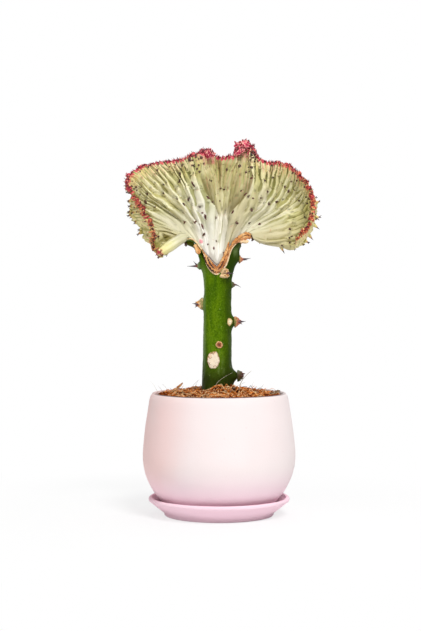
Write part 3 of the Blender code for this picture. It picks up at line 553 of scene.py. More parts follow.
def buildFan(skin):
    # both faces joined by a rounded edge, as rows of points that are stitched to their neighbours all the way round
    front, back = fanSide(1, rimRandom), fanSide(-1, rimRandom)
    cap, count = rimCap(front, back), len(front["t"])
    # rows up the front, over the growing edge and down the back, where every second one does; low rows have half the points
    rows = [(front, k) for k in range(count)] + [(front, count - 1)] * len(cap) + [(back, k) for k in range(count - 1,
            -1, -2)]
    rows = [(face, k, slice(None, None, 2 if k <= fan["rows"][0] else 1)) for face, k in rows]
    values = {key: np.concatenate([face[key][k, taken] for face, k, taken in rows]) for key in ("cusp", "climb",
            "tint", "drop", "fold", "reach", "along", "panel", "fibre", "paintedShading")}
    points = [face["points"][k, taken] for face, k, taken in rows]
    points[count:count + len(cap)] = cap
    values["side"] = np.concatenate([np.full(len(row), face is front) for row, (face, _, _) in zip(points, rows)])
    values["peak"] = sum(stretch(values["along"], stations) for stations in fan["peaks"])
    number = np.split(np.arange(len(values["side"])), np.cumsum([len(row) for row in points])[:-1])
    faces = [part for a, b in zip(number, number[1:] + number[:1]) for part in stitch(a, b)]
    for end in (0, -1):  # the two ends of the rim are closed from front to back
        up, over, down = np.split(np.array([row[end] for row in number]), [count, count + len(cap)])
        over = np.append(over, down[0])
        tip = np.stack([np.full(len(cap), up[-1]), over[:-1], over[1:]], -1)
        closing = stitch(up, down[::-1]) + [tip]
        faces += turnedOver(closing) if end else closing
    makePiece("crest_flesh", [(np.concatenate(points), faces, values)], skin, ["crested_scion"])
    return front, back


def buildRoll(skin):
    # circles along the roll's path, each radius swelling by a sine wave and a little noise
    at = np.linspace(0, len(roll["path"]) - 1, roll["steps"])
    path = through(roll["path"], at)
    radii = np.interp(at, np.arange(len(roll["radii"])), roll["radii"]) * (1 + 0.04 * np.sin(at * 2.6))
    points, faces = tubes(path[None], radii[None], roll["sides"])
    points = points + 0.16 * ripple(points, 3, 77)[:, None]
    nearest = np.argmin(((points[:, None] - path[None]) ** 2).sum(-1), axis=1)
    share, full = nearest / (roll["steps"] - 1), np.ones(len(points))
    lift = (points - path[nearest])[:, 2] / radii[nearest]  # 1 on top of the roll, -1 underneath
    values = dict.fromkeys(("drop", "fold", "panel", "peak", "fibre", "paintedShading"), 0 * full)
    values |= dict(cusp=np.clip(0.95 - 0.95 * np.abs(lift) ** 3, 0, 1), climb=0.5 * full,
            tint=0.5 + 0.3 * np.sin(9 * lift), reach=0.15 + 0.82 * share**2, along=0.16 * full, side=full)
    makePiece("crest_roll", [(points, faces, values)], skin)
    return points[share > 0.9]


def fleshMaterial():
    # coloured by height between valley and keel, distance from the foot and place along the rim
    begin("crestFlesh")
    reach, cusp, climb, tint, drop, fold, along, side, panel, peak, fibre = (attribute(key) for key in ("reach",
            "cusp", "climb", "tint", "drop", "fold", "along", "side", "panel", "peak", "fibre"))
    patches = noise(55)
    streaks = noise(130, 3, 0.6)
    fine = noise(320, 4)
    # keels are cream or yellow green by their tint, valleys grey green, both yellower outwards and at the fan's ends
    outer = times(between(calc("ABSOLUTE", minus(along, 0.5)), 0.26, 0.44, 0, 0.26), between(reach, 0.1, 0.95, 1, 0))
    drift = plus(reach, outer, spread(patches, -0.07, 0.07))
    cream = ramp(drift, (0, 236, 232, 222), (0.24, 234, 230, 216), (0.42, 232, 228, 206), (0.6, 230, 225, 190),
            (0.8, 228, 218, 164), (0.97, 232, 220, 168))
    green = ramp(drift, (0, 232, 228, 216), (0.24, 222, 219, 198), (0.42, 206, 204, 164), (0.6, 200, 198, 142),
            (0.8, 198, 190, 122), (0.97, 212, 196, 132))
    keel = mixed(between(tint, 0.12, 0.66), green, cream)
    valley = ramp(drift, (0, 206, 200, 186), (0.22, 190, 188, 162), (0.38, 166, 164, 116), (0.56, 148, 146, 88),
            (0.8, 104, 100, 44), (0.97, 80, 62, 32))
    # how high a place is between valley and keel, lowered by the painted shade in folds and raised on fibres
    depth = plus(cusp, spread(streaks, -0.1, 0.1))
    depth = minus(depth, times(fold, 0.4))
    depth = plus(depth, times(fibre, 0.12))
    aside = calc("ABSOLUTE", minus(along, 0.5))
    wide = times(between(aside, 0.16, 0.3, 0, 0.16), between(reach, 0.2, 0.5))
    flesh = mixed(between(minus(depth, wide), 0.04, 0.44), valley, keel)
    # fresh green patches high up, then yellow on both shoulders, on the curled ends and behind them
    fresh = times(between(patches, 0.54, 0.66), between(reach, 0.35, 0.6, 0, 0.3))
    flesh = mixed(fresh, flesh, (170, 176, 96))
    yellow = calc("MAXIMUM", between(along, 0.38, 0.24, 0, 0.5), between(along, 0.68, 0.88, 0, 0.5))
    yellow = times(yellow, between(reach, 0.3, 0.6, 0.3, 1))
    flesh = mixed(yellow, flesh, mixed(between(depth, 0.1, 0.6), (166, 156, 72), (236, 228, 150)))
    lobe = times(between(aside, 0.28, 0.46), between(reach, 0.5, 0.85))
    flesh = mixed(times(lobe, 0.34), flesh, mixed(between(cusp, 0.1, 0.6), (146, 146, 62), (224, 208, 126)))
    behind = times(lobe, between(side, 0.6, 0.4, 0, 0.75))
    flesh = mixed(behind, flesh, mixed(between(cusp, 0, 0.7), (196, 188, 108), (236, 224, 158)))
    # painted shade low on both ends, then painted shade and painted light by place along the rim
    low = times(between(aside, 0.17, 0.3), between(reach, 0.42, 0.22, 0, 0.5))
    flesh = mixed(low, flesh, mixed(between(depth, 0.1, 0.6), (150, 142, 92), (190, 184, 142)))
    paintedShading = attribute("paintedShading")
    flesh = mixed(times(paintedShading, -1), flesh, mixed(between(depth, 0.1, 0.6), (196, 188, 126), (240, 236, 204)))
    flesh = mixed(paintedShading, flesh, mixed(between(depth, 0.1, 0.6), (146, 134, 82), (192, 180, 132)))
    # the set-back middle, painted in shade: pale at the foot, olive with light fibres above, and painted shade in brown
    # along its edges and in its folds
    sunk = ramp(drift, (0.26, 208, 198, 172), (0.42, 170, 158, 110), (0.6, 174, 164, 112), (0.9, 188, 180, 116))
    sunk = mixed(between(plus(fibre, between(patches, 0.35, 0.65, -0.5, 0.5)), -0.3, 0.5), sunk,
            mixed(between(patches, 0.42, 0.58), (168, 168, 96), (206, 198, 152)))
    sunk = mixed(between(fold, 0.1, 1.1), sunk, (112, 98, 48))
    flesh = mixed(times(panel, 0.75), flesh, sunk)
    # painted shade in the notches and where the edge drops behind a tubercle, pinkish on the tips of the tubercles
    notch = times(between(climb, 0.26, 0.04), between(cusp, 0.45, 0.85), between(reach, 0.2, 0.4))
    flesh = mixed(times(notch, 0.8), flesh, (84, 78, 38))
    fall = times(drop, between(cusp, 0.45, 0.85), between(reach, 0.15, 0.3))
    flesh = mixed(times(fall, 0.6), flesh, (98, 92, 46))
    tip = times(between(climb, 0.9, 1), between(cusp, 0.6, 0.95))
    flesh = mixed(times(tip, 0.55), flesh, (188, 128, 96))
    # pink lines along the keels, magenta on the peaks, and the red growing edge itself
    line = times(between(cusp, 0.66, 0.94), between(reach, 0.8, 0.94), between(streaks, 0.36, 0.6, 0.5, 1.4))
    keelLine = times(panel, between(cusp, 0.86, 0.98), between(reach, 0.5, 0.66))
    line = calc("MAXIMUM", times(line, 0.45), times(keelLine, 0.45))
    flesh = mixed(line, flesh, (224, 140, 124))
    flush = times(peak, between(plus(reach, spread(fine, -0.05, 0.05)), 0.86, 0.95))
    flesh = mixed(times(flush, 0.75), flesh, mixed(between(streaks, 0.4, 0.6), (196, 50, 96), (232, 160, 150)))
    growing = plus(reach, spread(fine, -0.008, 0.008), between(cusp, 0.1, 0.9, -0.01, 0.012))
    rim = ramp(along, (0, 200, 140, 80), (0.1, 206, 126, 76), (0.18, 206, 84, 76), (0.35, 222, 104, 104),
            (0.62, 222, 92, 104), (0.75, 216, 104, 84), (1, 206, 110, 56))
    rim = mixed(between(streaks, 0.48, 0.6, 0, 0.8), rim, (182, 36, 68))
    flesh = mixed(between(growing, 0.968, 0.978), flesh, rim)
    return finish(flesh, (noise(900), 0.0006, 0.5), (patches, 0.42, 0.6), 0.4)


# Small parts on the fan: thorns in pairs at the tubercles, beads and spikes along the growing edge.
trim = dict(
    thornLength=((0, 1.6), (0.6, 1.9), (0.85, 1.6), (1, 1.2)),  # mm by share of the way to the rim
    thornWidth=0.45, knob=(0.95, 0.85, 0.8),  # mm
    tooth=(1.5, 2.6, 1.3),  # half width, length and half thickness of the flesh under a thorn on a curled end, mm
    kept=(0.34, 0.34),  # share of the tubercles that carry thorns, front and back
    beads=820, spikes=800,  # along the growing edge
    beadSize=(0.36, 0.74), beadLength=(0.9, 2.6),  # smallest and largest radius, and length against it, mm
    spikeSize=((0.28, 1.2), (0.46, 2.9)),
    # larger teeth on the ends' outline: x and z of the foot and of the tip
    tusks=((74.6, 234.9, 77.8, 231.4), (74.8, 226.4, 78.5, 223.4), (70.2, 218.6, 72.9, 215.4),
            (48.3, 210.8, 51.2, 205.5), (-65.9, 233.4, -69, 232.4), (-64, 229.5, -67, 228.7),
            (-60.1, 224.4, -63.2, 222.9)),
    # crumpled lumps of young flesh at the peaks: middle, half sizes in mm and lean in degrees
    ruffles=(((-8.4, -0.5, 282.6), (5, 3.6, 3.6), 10), ((-12.6, 2, 284.4), (2.6, 2.6, 2.2), 0),
            ((20.4, 3, 289.6), (4.6, 3.4, 4.4), -12), ((15.2, 2, 289), (2.9, 2.6, 3.4), 20),
            ((15.6, -0.8, 284.2), (5.4, 1.8, 2), 30), ((25, 1.5, 285), (2.4, 2.2, 4.4), -24)),
    # x, z, spread, knobs
    clusters=((-19.4, 280, 4.8, 16), (-18.4, 271, 4.6, 8), (26.4, 280.4, 5.4, 18), (23.4, 271.5, 4.4, 9)),
    # x, z, half width, half height and lean in degrees of marks on the smooth base, and their kind
    blemishes=((-13.5, 225.6, 1.1, 3.2, 34, 0), (-10.1, 232, 1.2, 2.9, 26, 0), (-3.9, 209.3, 0.9, 1.5, 10, 0),
            (-8.4, 212.5, 0.8, 0.9, 0, 0), (3.3, 205.5, 0.6, 0.9, 0, 0), (-14, 213.2, 2, 2.6, 24, 2),
            (-2.4, 214.6, 0.7, 1.2, 10, 1), (-18.3, 229.7, 1.1, 0.8, 30, 0), (11.2, 236.9, 1, 2.3, -42, 0),
            (-2.8, 232.6, 1.1, 1.2, 0, 0), (14.2, 228.7, 0.9, 1.1, -30, 0), (31, 228.4, 1.5, 0.9, 0, 0),
            (-13, 236.9, 1, 0.7, 0, 0), (-8.7, 248.5, 0.9, 1.9, 46, 0), (0.7, 246.4, 0.9, 1.1, -20, 0),
            (-19.9, 258.5, 1, 3, 32, 0), (20.6, 250.7, 1, 1.9, -54, 0), (17, 253.6, 0.9, 0.9, 0, 0),
            (-27.4, 242.5, 0.8, 1.8, 35, 0), (-7.4, 262, 1.1, 0.9, 0, 0), (25.6, 263.4, 1.5, 1.2, 0, 0),
            (-23, 248.2, 0.7, 1, 0, 0), (26.4, 247.7, 0.9, 0.8, 0, 0), (-27, 229.1, 0.9, 0.7, 0, 0)),
    seed=11,
)


def hornShape(sides, rings, foot, tip):  # rings of (width, height, lean) round the Y axis, with a point below and above
    turn = circle(sides)
    return closed([np.stack([wide * np.cos(turn), tall + 0 * turn, wide * np.sin(turn) + lean], -1) for wide, tall,
            lean in rings], foot, tip)


def coneShape(sides=5, bend=0.25):  # a thin horn one long, one wide at its foot, bowed to one side
    return hornShape(sides, ((1, -0.1, 0), (0.62, 0.5, bend * 0.4)), (0, -0.1, 0), (0, 1, bend))


def knobShape():  # a bead, widest a third of the way up
    return hornShape(6, ((0.7, -0.2, 0), (1, 0.35, 0), (0.65, 0.85, 0)), (0, -0.3, 0), (0, 1, 0))


def onFace(face, ridge, share):  # place, out, ahead and side directions on a face of the fan at a ridge and a share
    row = np.interp(share, face["t"], np.arange(len(face["t"])))
    i = np.clip(np.floor(row).astype(int), 0, len(face["t"]) - 2)
    b = (row - i)[:, None]
    column = np.rint(face["lines"][ridge, i] * fan["columns"]).astype(int)
    column = np.clip(column, 1, face["points"].shape[1] - 2)
    place = face["points"][i, column] * (1 - b) + face["points"][i + 1, column] * b
    ahead = unit(face["sheet"][i + 1, column] - face["sheet"][i, column])
    return place, face["across"][i, column], ahead, unit(face["sheet"][i, column + 1] - face["sheet"][i, column - 1])


def nearestOn(face, x, z):  # the grid point of a face nearest to x and z, and the direction out there
    near = np.argmin(((face["points"][..., [0, 2]] - [x, z]) ** 2).sum(-1))
    return face["points"].reshape(-1, 3)[near], face["across"].reshape(-1, 3)[near]


def buildThorns(front, back, thornSkin, fleshSkin):
    # A bead at each tubercle kept, pointing out and up, and two thorns on it that lean to both sides by random shares
    rng = np.random.default_rng(trim["seed"])
    cones, knobs, teeth = [], [], []  # each a place, a frame and a size
    for face, kept in zip((front, back), trim["kept"]):
        ridge, share = np.array([(ridge, tip) for ridge, tips in enumerate(face["teeth"]) for tip in tips[:-1]
                if tip < fan["edge"]]).T
        ridge = ridge.astype(int)
        lobe = (np.abs(ridgeShare[ridge] - 0.5) > 0.33) & (face is back)
        keep = rng.random(len(ridge)) < kept * (1 - 0.5 * panelShare(ridgeShare[ridge], share)[0])
        ridge, share, lobe = ridge[keep], share[keep], lobe[keep]
        place, out, ahead, side = onFace(face, ridge, share)
        column = (len(share), 1)
        length = lookUp(trim["thornLength"], share) * rng.uniform(0.75, 1.25, len(share))
        bold = rng.uniform(0.5, 1.4, column)
        point = unit(out + ahead * rng.uniform(0.5, 1.1, column))
        tooth = np.array(trim["tooth"]) * bold
        teeth.append((place[lobe] - out[lobe] * 0.4, framesFrom(point, side)[lobe], tooth[lobe]))
        place = place + point * (tooth[:, 1:2] - 0.5) * lobe[:, None]
        width = trim["thornWidth"] * np.interp(share, (0.6, 1), (1, 0.75))
        for lean in (-1, 1):
            way = unit(point + lean * side * rng.uniform(0.2, 0.8, column) + ahead * rng.uniform(-0.2, 0.4, column))
            cones.append((place + side * lean * 0.3, framesFrom(way, out), np.stack([width, length, width], -1)))
        drawn = rng.uniform(0.8, 1.9, column) ** [1, 0, 0]  # longer along the ridge
        size = np.array(trim["knob"]) * bold * drawn * np.where(lobe, 0.6, np.interp(share, (0.5, 1), (1, 0.7)))[:, None]
        knobs.append((place - point * 0.15, framesFrom(point, side), size))
    for x, z, spread, count in trim["clusters"]:
        spots = np.array([x, z]) + rng.normal(0, spread / 2, (count, 2))
        place, out = (np.array(part) for part in zip(*[nearestOn(front, *spot) for spot in spots]))
        point = unit(out + rng.normal(0, 0.4, (count, 3)) + [0, 0, 0.5])
        size = np.array(trim["knob"]) * rng.uniform(0.6, 1.5, (count, 1)) * rng.uniform(0.7, 1.3, (count, 3))
        knobs.append((place, framesFrom(point, out), size))
    for x, z, tipX, tipZ in trim["tusks"]:
        foot, length = nearestOn(back, x, z)[0], math.hypot(tipX - x, tipZ - z)
        point = unit(np.array([[tipX - x, 0.6, tipZ - z]]))
        turned = framesFrom(point, np.array([[0, 1, 0]]))
        teeth.append((foot - point * 1.2, turned, np.array([[1.9, length + 1.4, 1.5]])))
        cones.append((foot + point * (length - 1.2), turned, np.array([[0.5, 2.4, 0.5]])))
    for name, shape, rows, skin in (("crest_thorns", coneShape(), cones, thornSkin), ("crest_knobs", knobShape(),
            knobs, thornSkin), ("crest_teeth_back", coneShape(7, 0.1), teeth, fleshSkin)):
        points, faces = scatter(shape, *[np.concatenate(part) for part in zip(*rows)])
        tip = np.tile(shape[0][:, 1], len(points) // len(shape[0]))
        makePiece(name, [(points, faces, dict(tip=tip))], skin)


def toothMaterial():  # cream green to a dark brown tip
    begin("toothFlesh")
    shade = noise(500)
    tip = plus(attribute("tip"), spread(shade, -0.12, 0.12))
    return finish(ramp(tip, (0, 196, 188, 108), (0.5, 222, 206, 134), (0.74, 196, 132, 84), (0.92, 110, 60, 44)),
            (shade, 0.0003, 0.4), 0.5)


def buildRuffles(skin):
    # Squashed balls whose radius shrinks with the size of a sine ripple, so that they crease into sharp folds
    shells, tops = [], []
    polar, around = np.meshgrid(np.linspace(0, math.pi, 30), circle(48), indexing="ij")
    ball = np.stack([np.sin(polar) * np.cos(around), np.sin(polar) * np.sin(around), np.cos(polar)], -1)
    ball, faces = closed(ball[1:-1], ball[0, 0], ball[-1, 0])
    for number, (middle, sizes, lean) in enumerate(trim["ruffles"]):
        c, s = math.cos(math.radians(lean)), math.sin(math.radians(lean))
        places = ball * sizes @ np.array([[c, 0, s], [0, 1, 0], [-s, 0, c]])
        fold = 1 - np.clip(1.5 * np.abs(ripple(places, 3.4, 40 + number)), 0, 1)
        places = middle + places * (0.74 + 0.36 * fold + 0.06 * ripple(places, 1.2, 60 + number))[:, None]
        shells.append((places, faces, dict(fold=fold)))
        tops.append(places[(fold > 0.8) & (ball[:, 2] > -0.3)])
    makePiece("crest_ruffles", shells, skin)
    return np.concatenate(tops)


def ruffleMaterial():  # dark magenta in the folds, pale pink on their crests
    begin("ruffleMagenta")
    shade, fine = noise(260), noise(800)
    fold = plus(attribute("fold"), spread(shade, -0.2, 0.2))
    pink = ramp(fold, (0, 168, 30, 64), (0.25, 210, 64, 98), (0.5, 232, 122, 128), (0.85, 244, 184, 168))
    pink = mixed(between(fine, 0.4, 0.32, 0, 0.8), pink, (120, 26, 50))
    return finish(pink, (fine, 0.0005, 0.6), (fine, 0.4, 0.6))


def rimPlaces(front, back, rng, count):  # random places on the rounded growing edge, with out, ahead and side there
    column = rng.integers(1, front["sheet"].shape[1] - 1, count)
    ahead = overEdge(front)[column]
    turn = np.radians(np.clip(rng.normal(78, 34, count), 10, 166))[:, None]
    half = (front["half"][-1, column] + back["half"][-1, column]) / 2
    across = front["across"][-1, column]
    out = ahead * np.sin(turn) + across * np.cos(turn)
    place = front["sheet"][-1, column] + out * half[:, None] * 0.85
    side = unit(front["sheet"][-1, column + 1] - front["sheet"][-1, column - 1])
    return place, unit(out + ahead * 0.5 + side * rng.normal(0, 0.35, (count, 1))), across, column


def buildRim(front, back, tops, rollEnd, skin):  # beads and spikes standing out of the growing edge, leaned at random
    rng = np.random.default_rng(trim["seed"] + 1)
    spots = np.concatenate([tops, rollEnd])  # more of them on the ruffles and at the roll's end
    onRoll = np.arange(len(spots)) >= len(tops)
    for name, shape, number, power in (("beads", knobShape(), trim["beads"], 1), ("spikes", coneShape(bend=0.35),
            trim["spikes"], 1.6)):
        place, way, across, column = rimPlaces(front, back, rng, number)
        extra = rng.integers(0, len(spots), number // 7)
        rise = unit(rng.normal(0, 0.35, (len(extra), 3)) + np.where(onRoll[extra, None], [-1, -0.4, -0.2], [0, -0.5, 1]))
        place, way = np.concatenate([place, spots[extra]]), np.concatenate([way, rise])
        across = np.concatenate([across, np.tile([0, -1, 0], (len(extra), 1))])
        count = len(place)
        if name == "beads":
            wide = rng.uniform(*trim["beadSize"], count)
            sizes = np.stack([wide, wide * rng.uniform(*trim["beadLength"], count), wide], -1)
        else:
            sizes = rng.uniform(*trim["spikeSize"], (count, 2))[:, [0, 1, 0]]
        values = dict(tone=rng.random(count) ** power, along=np.concatenate([column / front["sheet"].shape[1],
                np.where(onRoll[extra], 0.02, 0.5)]))
        values = {key: np.repeat(value, len(shape[0])) for key, value in values.items()}
        makePiece("crest_" + name, [(*scatter(shape, place, framesFrom(way, across), sizes), values)], skin)


def beadMaterial():  # reds that change along the rim, a few beads young, pale or dark
    begin("beadCrimson")
    shade = noise(600)
    along, tone = attribute("along"), attribute("tone")
    red = ramp(along, (0, 134, 70, 40), (0.1, 148, 58, 42), (0.17, 162, 32, 44), (0.35, 174, 36, 62),
            (0.62, 184, 32, 72), (0.72, 172, 36, 46), (1, 166, 48, 32))
    young = ramp(along, (0, 206, 104, 60), (0.12, 204, 86, 62), (0.2, 208, 60, 92), (0.74, 208, 60, 92),
            (0.84, 208, 90, 64), (1, 208, 110, 56))
    pale = ramp(along, (0.08, 238, 200, 128), (0.2, 240, 170, 150), (0.74, 240, 170, 150), (0.9, 238, 200, 128))
    red = mixed(between(tone, 0.68, 0.72), red, young)
    red = mixed(between(tone, 0.86, 0.9), red, pale)
    red = mixed(between(tone, 0.38, 0.32), red, (88, 22, 30))
    return finish(mixed(between(shade, 0.45, 0.7, 0, 0.4), red, (130, 34, 44)), (shade, 0.0003, 0.5), (shade, 0.4, 0.6))


def buildBlemishes(front, skin):  # low domes on the fan's front, each turned by its lean
    shells = []
    for number, (x, z, halfWidth, halfHeight, lean, kind) in enumerate(trim["blemishes"]):
        place, out = nearestOn(front, x, z)
        lean = math.radians(lean)
        side, over, out = framesFrom(np.array([[-math.sin(lean), 0, math.cos(lean)]]), out[None])[0]
        points, faces, share = dome(place, side, over, out, halfWidth, halfHeight, 0.5, number + 100)
        shells.append((points, faces, dict(kind=kind + 0 * share)))
    makePiece("crest_blemishes", shells, skin)


def blemishMaterial():  # by kind: dark brown scab, grey dot or pink blush
    begin("blemishBrown")
    grain = noise(700)
    kind = attribute("kind")
    dark = ramp(grain, (0.35, 42, 16, 12), (0.65, 104, 50, 36))
    dot = ramp(grain, (0.35, 96, 84, 58), (0.65, 160, 146, 112))
    blush = ramp(grain, (0.35, 226, 142, 150), (0.65, 240, 200, 198))
    skin = mixed(between(kind, 0.3, 0.7), dark, dot)
    return finish(mixed(between(kind, 1.3, 1.7), skin, blush), (grain, 0.0003, 0.6), 0.7)


def thornMaterial():  # dark brown with a grain
    begin("thornBrown")
    shade = noise(700, 2)
    return finish(ramp(shade, (0.35, 44, 26, 20), (0.65, 104, 66, 48)), (noise(2500, 2), 0.0002, 0.4), 0.55)


# The rootstock. Sections give, in mm, a height, the reach to the left and to the right and half the depth there.
stem = dict(
    sections=((58, 4, 4, 4), (61, 8, 8, 8), (68, 10.5, 10.5, 10.5), (80, 12, 12, 12), (98, 13.4, 11.6, 12.2),
            (106, 13.2, 10.8, 11.6), (118, 12.7, 9.9, 11), (150, 12.4, 9.5, 10.8), (172, 11.6, 9.4, 10.5),
            (184, 12.1, 9.7, 10.5), (190, 13, 10.8, 10.6), (196, 14.3, 12.8, 10.8), (200, 15.2, 14.4, 11),
            (203, 15.9, 15.4, 11), (206, 17, 15.6, 10.9), (208.5, 18.4, 16.2, 10.7), (210, 20.2, 16.8, 10.5),
            (211.2, 23.8, 17.6, 10.3), (212.2, 27, 19, 10.1), (213.2, 27.6, 20.4, 10), (215, 27.6, 24, 9.8),
            (217, 27.5, 26.2, 9.6), (220, 27.3, 27, 9.4)),
    cut=((-34, 214.4), (-27.4, 214), (-22.5, 214.4), (-19.6, 213.4), (-17.2, 210.8), (-14.8, 207.8), (-12.4, 204.4),
            (-10.9, 200.8), (-9.8, 197), (-8, 193.4), (-5.2, 190.2), (-2.2, 188.8), (0.6, 189.6), (3, 192),
            (5.2, 195.4), (6.8, 200), (8.2, 205), (10, 209.2), (12.4, 211.8), (15.4, 213.2), (16.8, 213.4),
            (17.6, 209.6), (34, 209)),
    squareness=2.3,
    swell=0.022,
    foot=70,
    rows=130,
    sides=240,
)
# Spine shields: degrees round the stem (0 is +X, -90 the front), height, size, rise of the bump under it, tone of the
# pad (0 tan, 1 grey green, 2 red brown, 3 dark), then for each spine how far it leans along the stem's side, how far it
# leans up, its length and how far its tip bows up, in mm
shields = ((184, 195.2, 2.7, 1.6, 1, ((0.2, -0.05, 8.5, 0.2), (-0.3, 0.95, 5, 0.5))), (190, 165.3, 4.4, 2.2, 0,
        ((0.3, 0.05, 6, 0.4), (-0.35, -0.6, 4.4, -0.6))),
        (-4, 200.5, 2.7, 1.8, 2, ((-0.15, 0.05, 7.5, 0.4), (0.25, -0.25, 5.5, 0.9))), (-14, 180.6, 2.3, 0.8, 3,
        ((-0.1, 0.1, 6.2, -2.8), (0.6, -0.25, 3, 0.2))),
        (-12, 151.5, 3.9, 4, 2, ((-0.2, 0.05, 7, 0.2), (0.35, -0.45, 4, -0.4))), (-10, 109.4, 3.8, 5.4, 3,
        ((-0.3, 0.25, 2.6, 0.2), (0.3, 0.1, 2.6, 0.2))), (-65, 189.6, 3.7, 1.2, 0,
        ((1.3, -0.12, 6.6, 0.2), (-0.9, 0.25, 3.4, 0.4))),
        (84, 124, 3.2, 1.8, 0, ((0.5, 0.1, 6.5, 0.9), (-0.5, 0.1, 6.5, 0.9))),
        (118, 152, 3.2, 1.8, 2, ((0.5, -0.1, 6, 0.9), (-0.5, 0.1, 6.5, 0.9))),
        (66, 176, 2.8, 1.4, 1, ((0.45, 0.2, 6.5, 0.9), (-0.5, 0, 6, 0.9))))


def stemReach(z):  # how far the stem reaches at a height to the left and to the right, and half its depth
    sections = np.array(stem["sections"])
    return [softly(z, sections[:, [0, k]], 1.3) for k in (1, 2, 3)]


def stemSurface(angle, z):
    # Superellipse sections with five soft ribs, and a bell-shaped bump under each shield; mm
    left, right, depth = stemReach(z)
    c, s = np.cos(angle), np.sin(angle)
    section = (np.abs(c) ** stem["squareness"] + np.abs(s) ** stem["squareness"]) ** (-1 / stem["squareness"])
    section = section * (1 + stem["swell"] * np.cos(5 * angle + z / 26))
    bump = 0
    for around, height, size, rise, _, _ in shields:
        turn = (angle - math.radians(around) + math.pi) % (2 * math.pi) - math.pi
        bump = bump + rise * np.exp(-((turn * 11) ** 2 + (z - height) ** 2) / (size * 1.15) ** 2)
    x = (right - left) / 2 + c * ((left + right) / 2 * section + bump)
    return np.stack(np.broadcast_arrays(x, s * (depth * section + bump), z), axis=-1)


def buildStem(skin):
    # rings from the foot up to the cut, closed at the top by strips from front to back
    rows, sides = stem["rows"], stem["sides"]
    angles, fine = circle(sides), np.linspace(216, 186, 601)
    x = stemSurface(angles[:, None], fine[None])[..., 0]
    top = fine[np.argmax(fine[None] < lookUp(stem["cut"], x), axis=1)]
    share = np.linspace(0, 1, rows)[:, None]
    points = stemSurface(angles[None], stem["foot"] + (top - stem["foot"]) * share**0.92)
    lumps = 0.1 * ripple(points, 7, 31) + 0.05 * ripple(points, 2.2, 32)
    points = points + unit(points * [1, 1, 0]) * (lumps * smoothStep(0, 0.05, 1 - share))[..., None]
    last = (rows - 1) * sides
    front = np.arange(sides // 2, sides + 1) % sides
    back = last + (sides - front) % sides
    front = last + front
    cut = np.stack([front[:-1], front[1:], back[1:], back[:-1]], -1)
    cutEnds = np.array([cut[0, [0, 1, 2]], cut[-1, [0, 2, 3]]])
    walls = gridFaces(rows, sides)[:, ::-1]
    makePiece("stem_flesh", [(points.reshape(-1, 3), [walls, cut[1:-1], cutEnds, np.arange(sides)[::-1][None]], {})],
            skin, ["rootstock"])


def stemMaterial():
    # long streaks of green under grit, painted shade on the right side and deeper on the right shoulder, darker towards
    # the foot, a painted highlight along the left edge, waxy patches and pale flecks
    begin("stemGreen")
    tall = noise(170, 4, 0.55, 0.6, (1, 1, 0.22))
    broad = noise(42)
    speck = noise(620)
    place = add("SeparateXYZ", {0: work["coords"]}).outputs
    green = ramp(tall, (0.28, 54, 84, 0), (0.5, 72, 104, 0), (0.72, 98, 128, 4))
    green = mixed(between(broad, 0.5, 0.68, 0, 0.6), green, (96, 130, 8))
    grit = noise(1000, 4, 0.7)
    green = mixed(between(grit, 0.5, 0.36, 0, 0.55), green, (36, 60, 0))
    green = mixed(between(grit, 0.54, 0.68, 0, 0.45), green, (124, 152, 50))
    # painted shade over the right side, deepest on the right shoulder
    shoulder = times(between(place["Z"], 0.176, 0.192), between(place["X"], 0.002, 0.0075))
    green = mixed(between(place["X"], 0, 0.008, 0, 0.75), green, (40, 58, 2))
    green = mixed(times(shoulder, 0.6), green, (26, 44, 4))
    green = mixed(between(place["Z"], 0.13, 0.104, 0, 0.85), green, (36, 42, 8))
    # painted highlight: a pale sheen along the left edge
    left = times(between(place["X"], -0.0095, -0.0122), between(place["Z"], 0.11, 0.13), between(place["Z"], 0.2, 0.185))
    green = mixed(times(left, 0.5), green, (128, 152, 96))
    arm = times(between(place["X"], -0.0155, -0.018), between(place["Z"], 0.205, 0.209))
    green = mixed(times(arm, 0.75), green, (70, 62, 2))
    wax = times(between(broad, 0.58, 0.74), between(tall, 0.48, 0.68))
    green = mixed(times(wax, 0.5), green, (150, 172, 112))
    fleck = between(speck, 0.69, 0.76)
    green = mixed(times(fleck, 0.45), green, (160, 172, 116))
    return finish(green, (noise(480, 4), 0.0005, 0.35), (tall, 0.34, 0.5), 0.04)


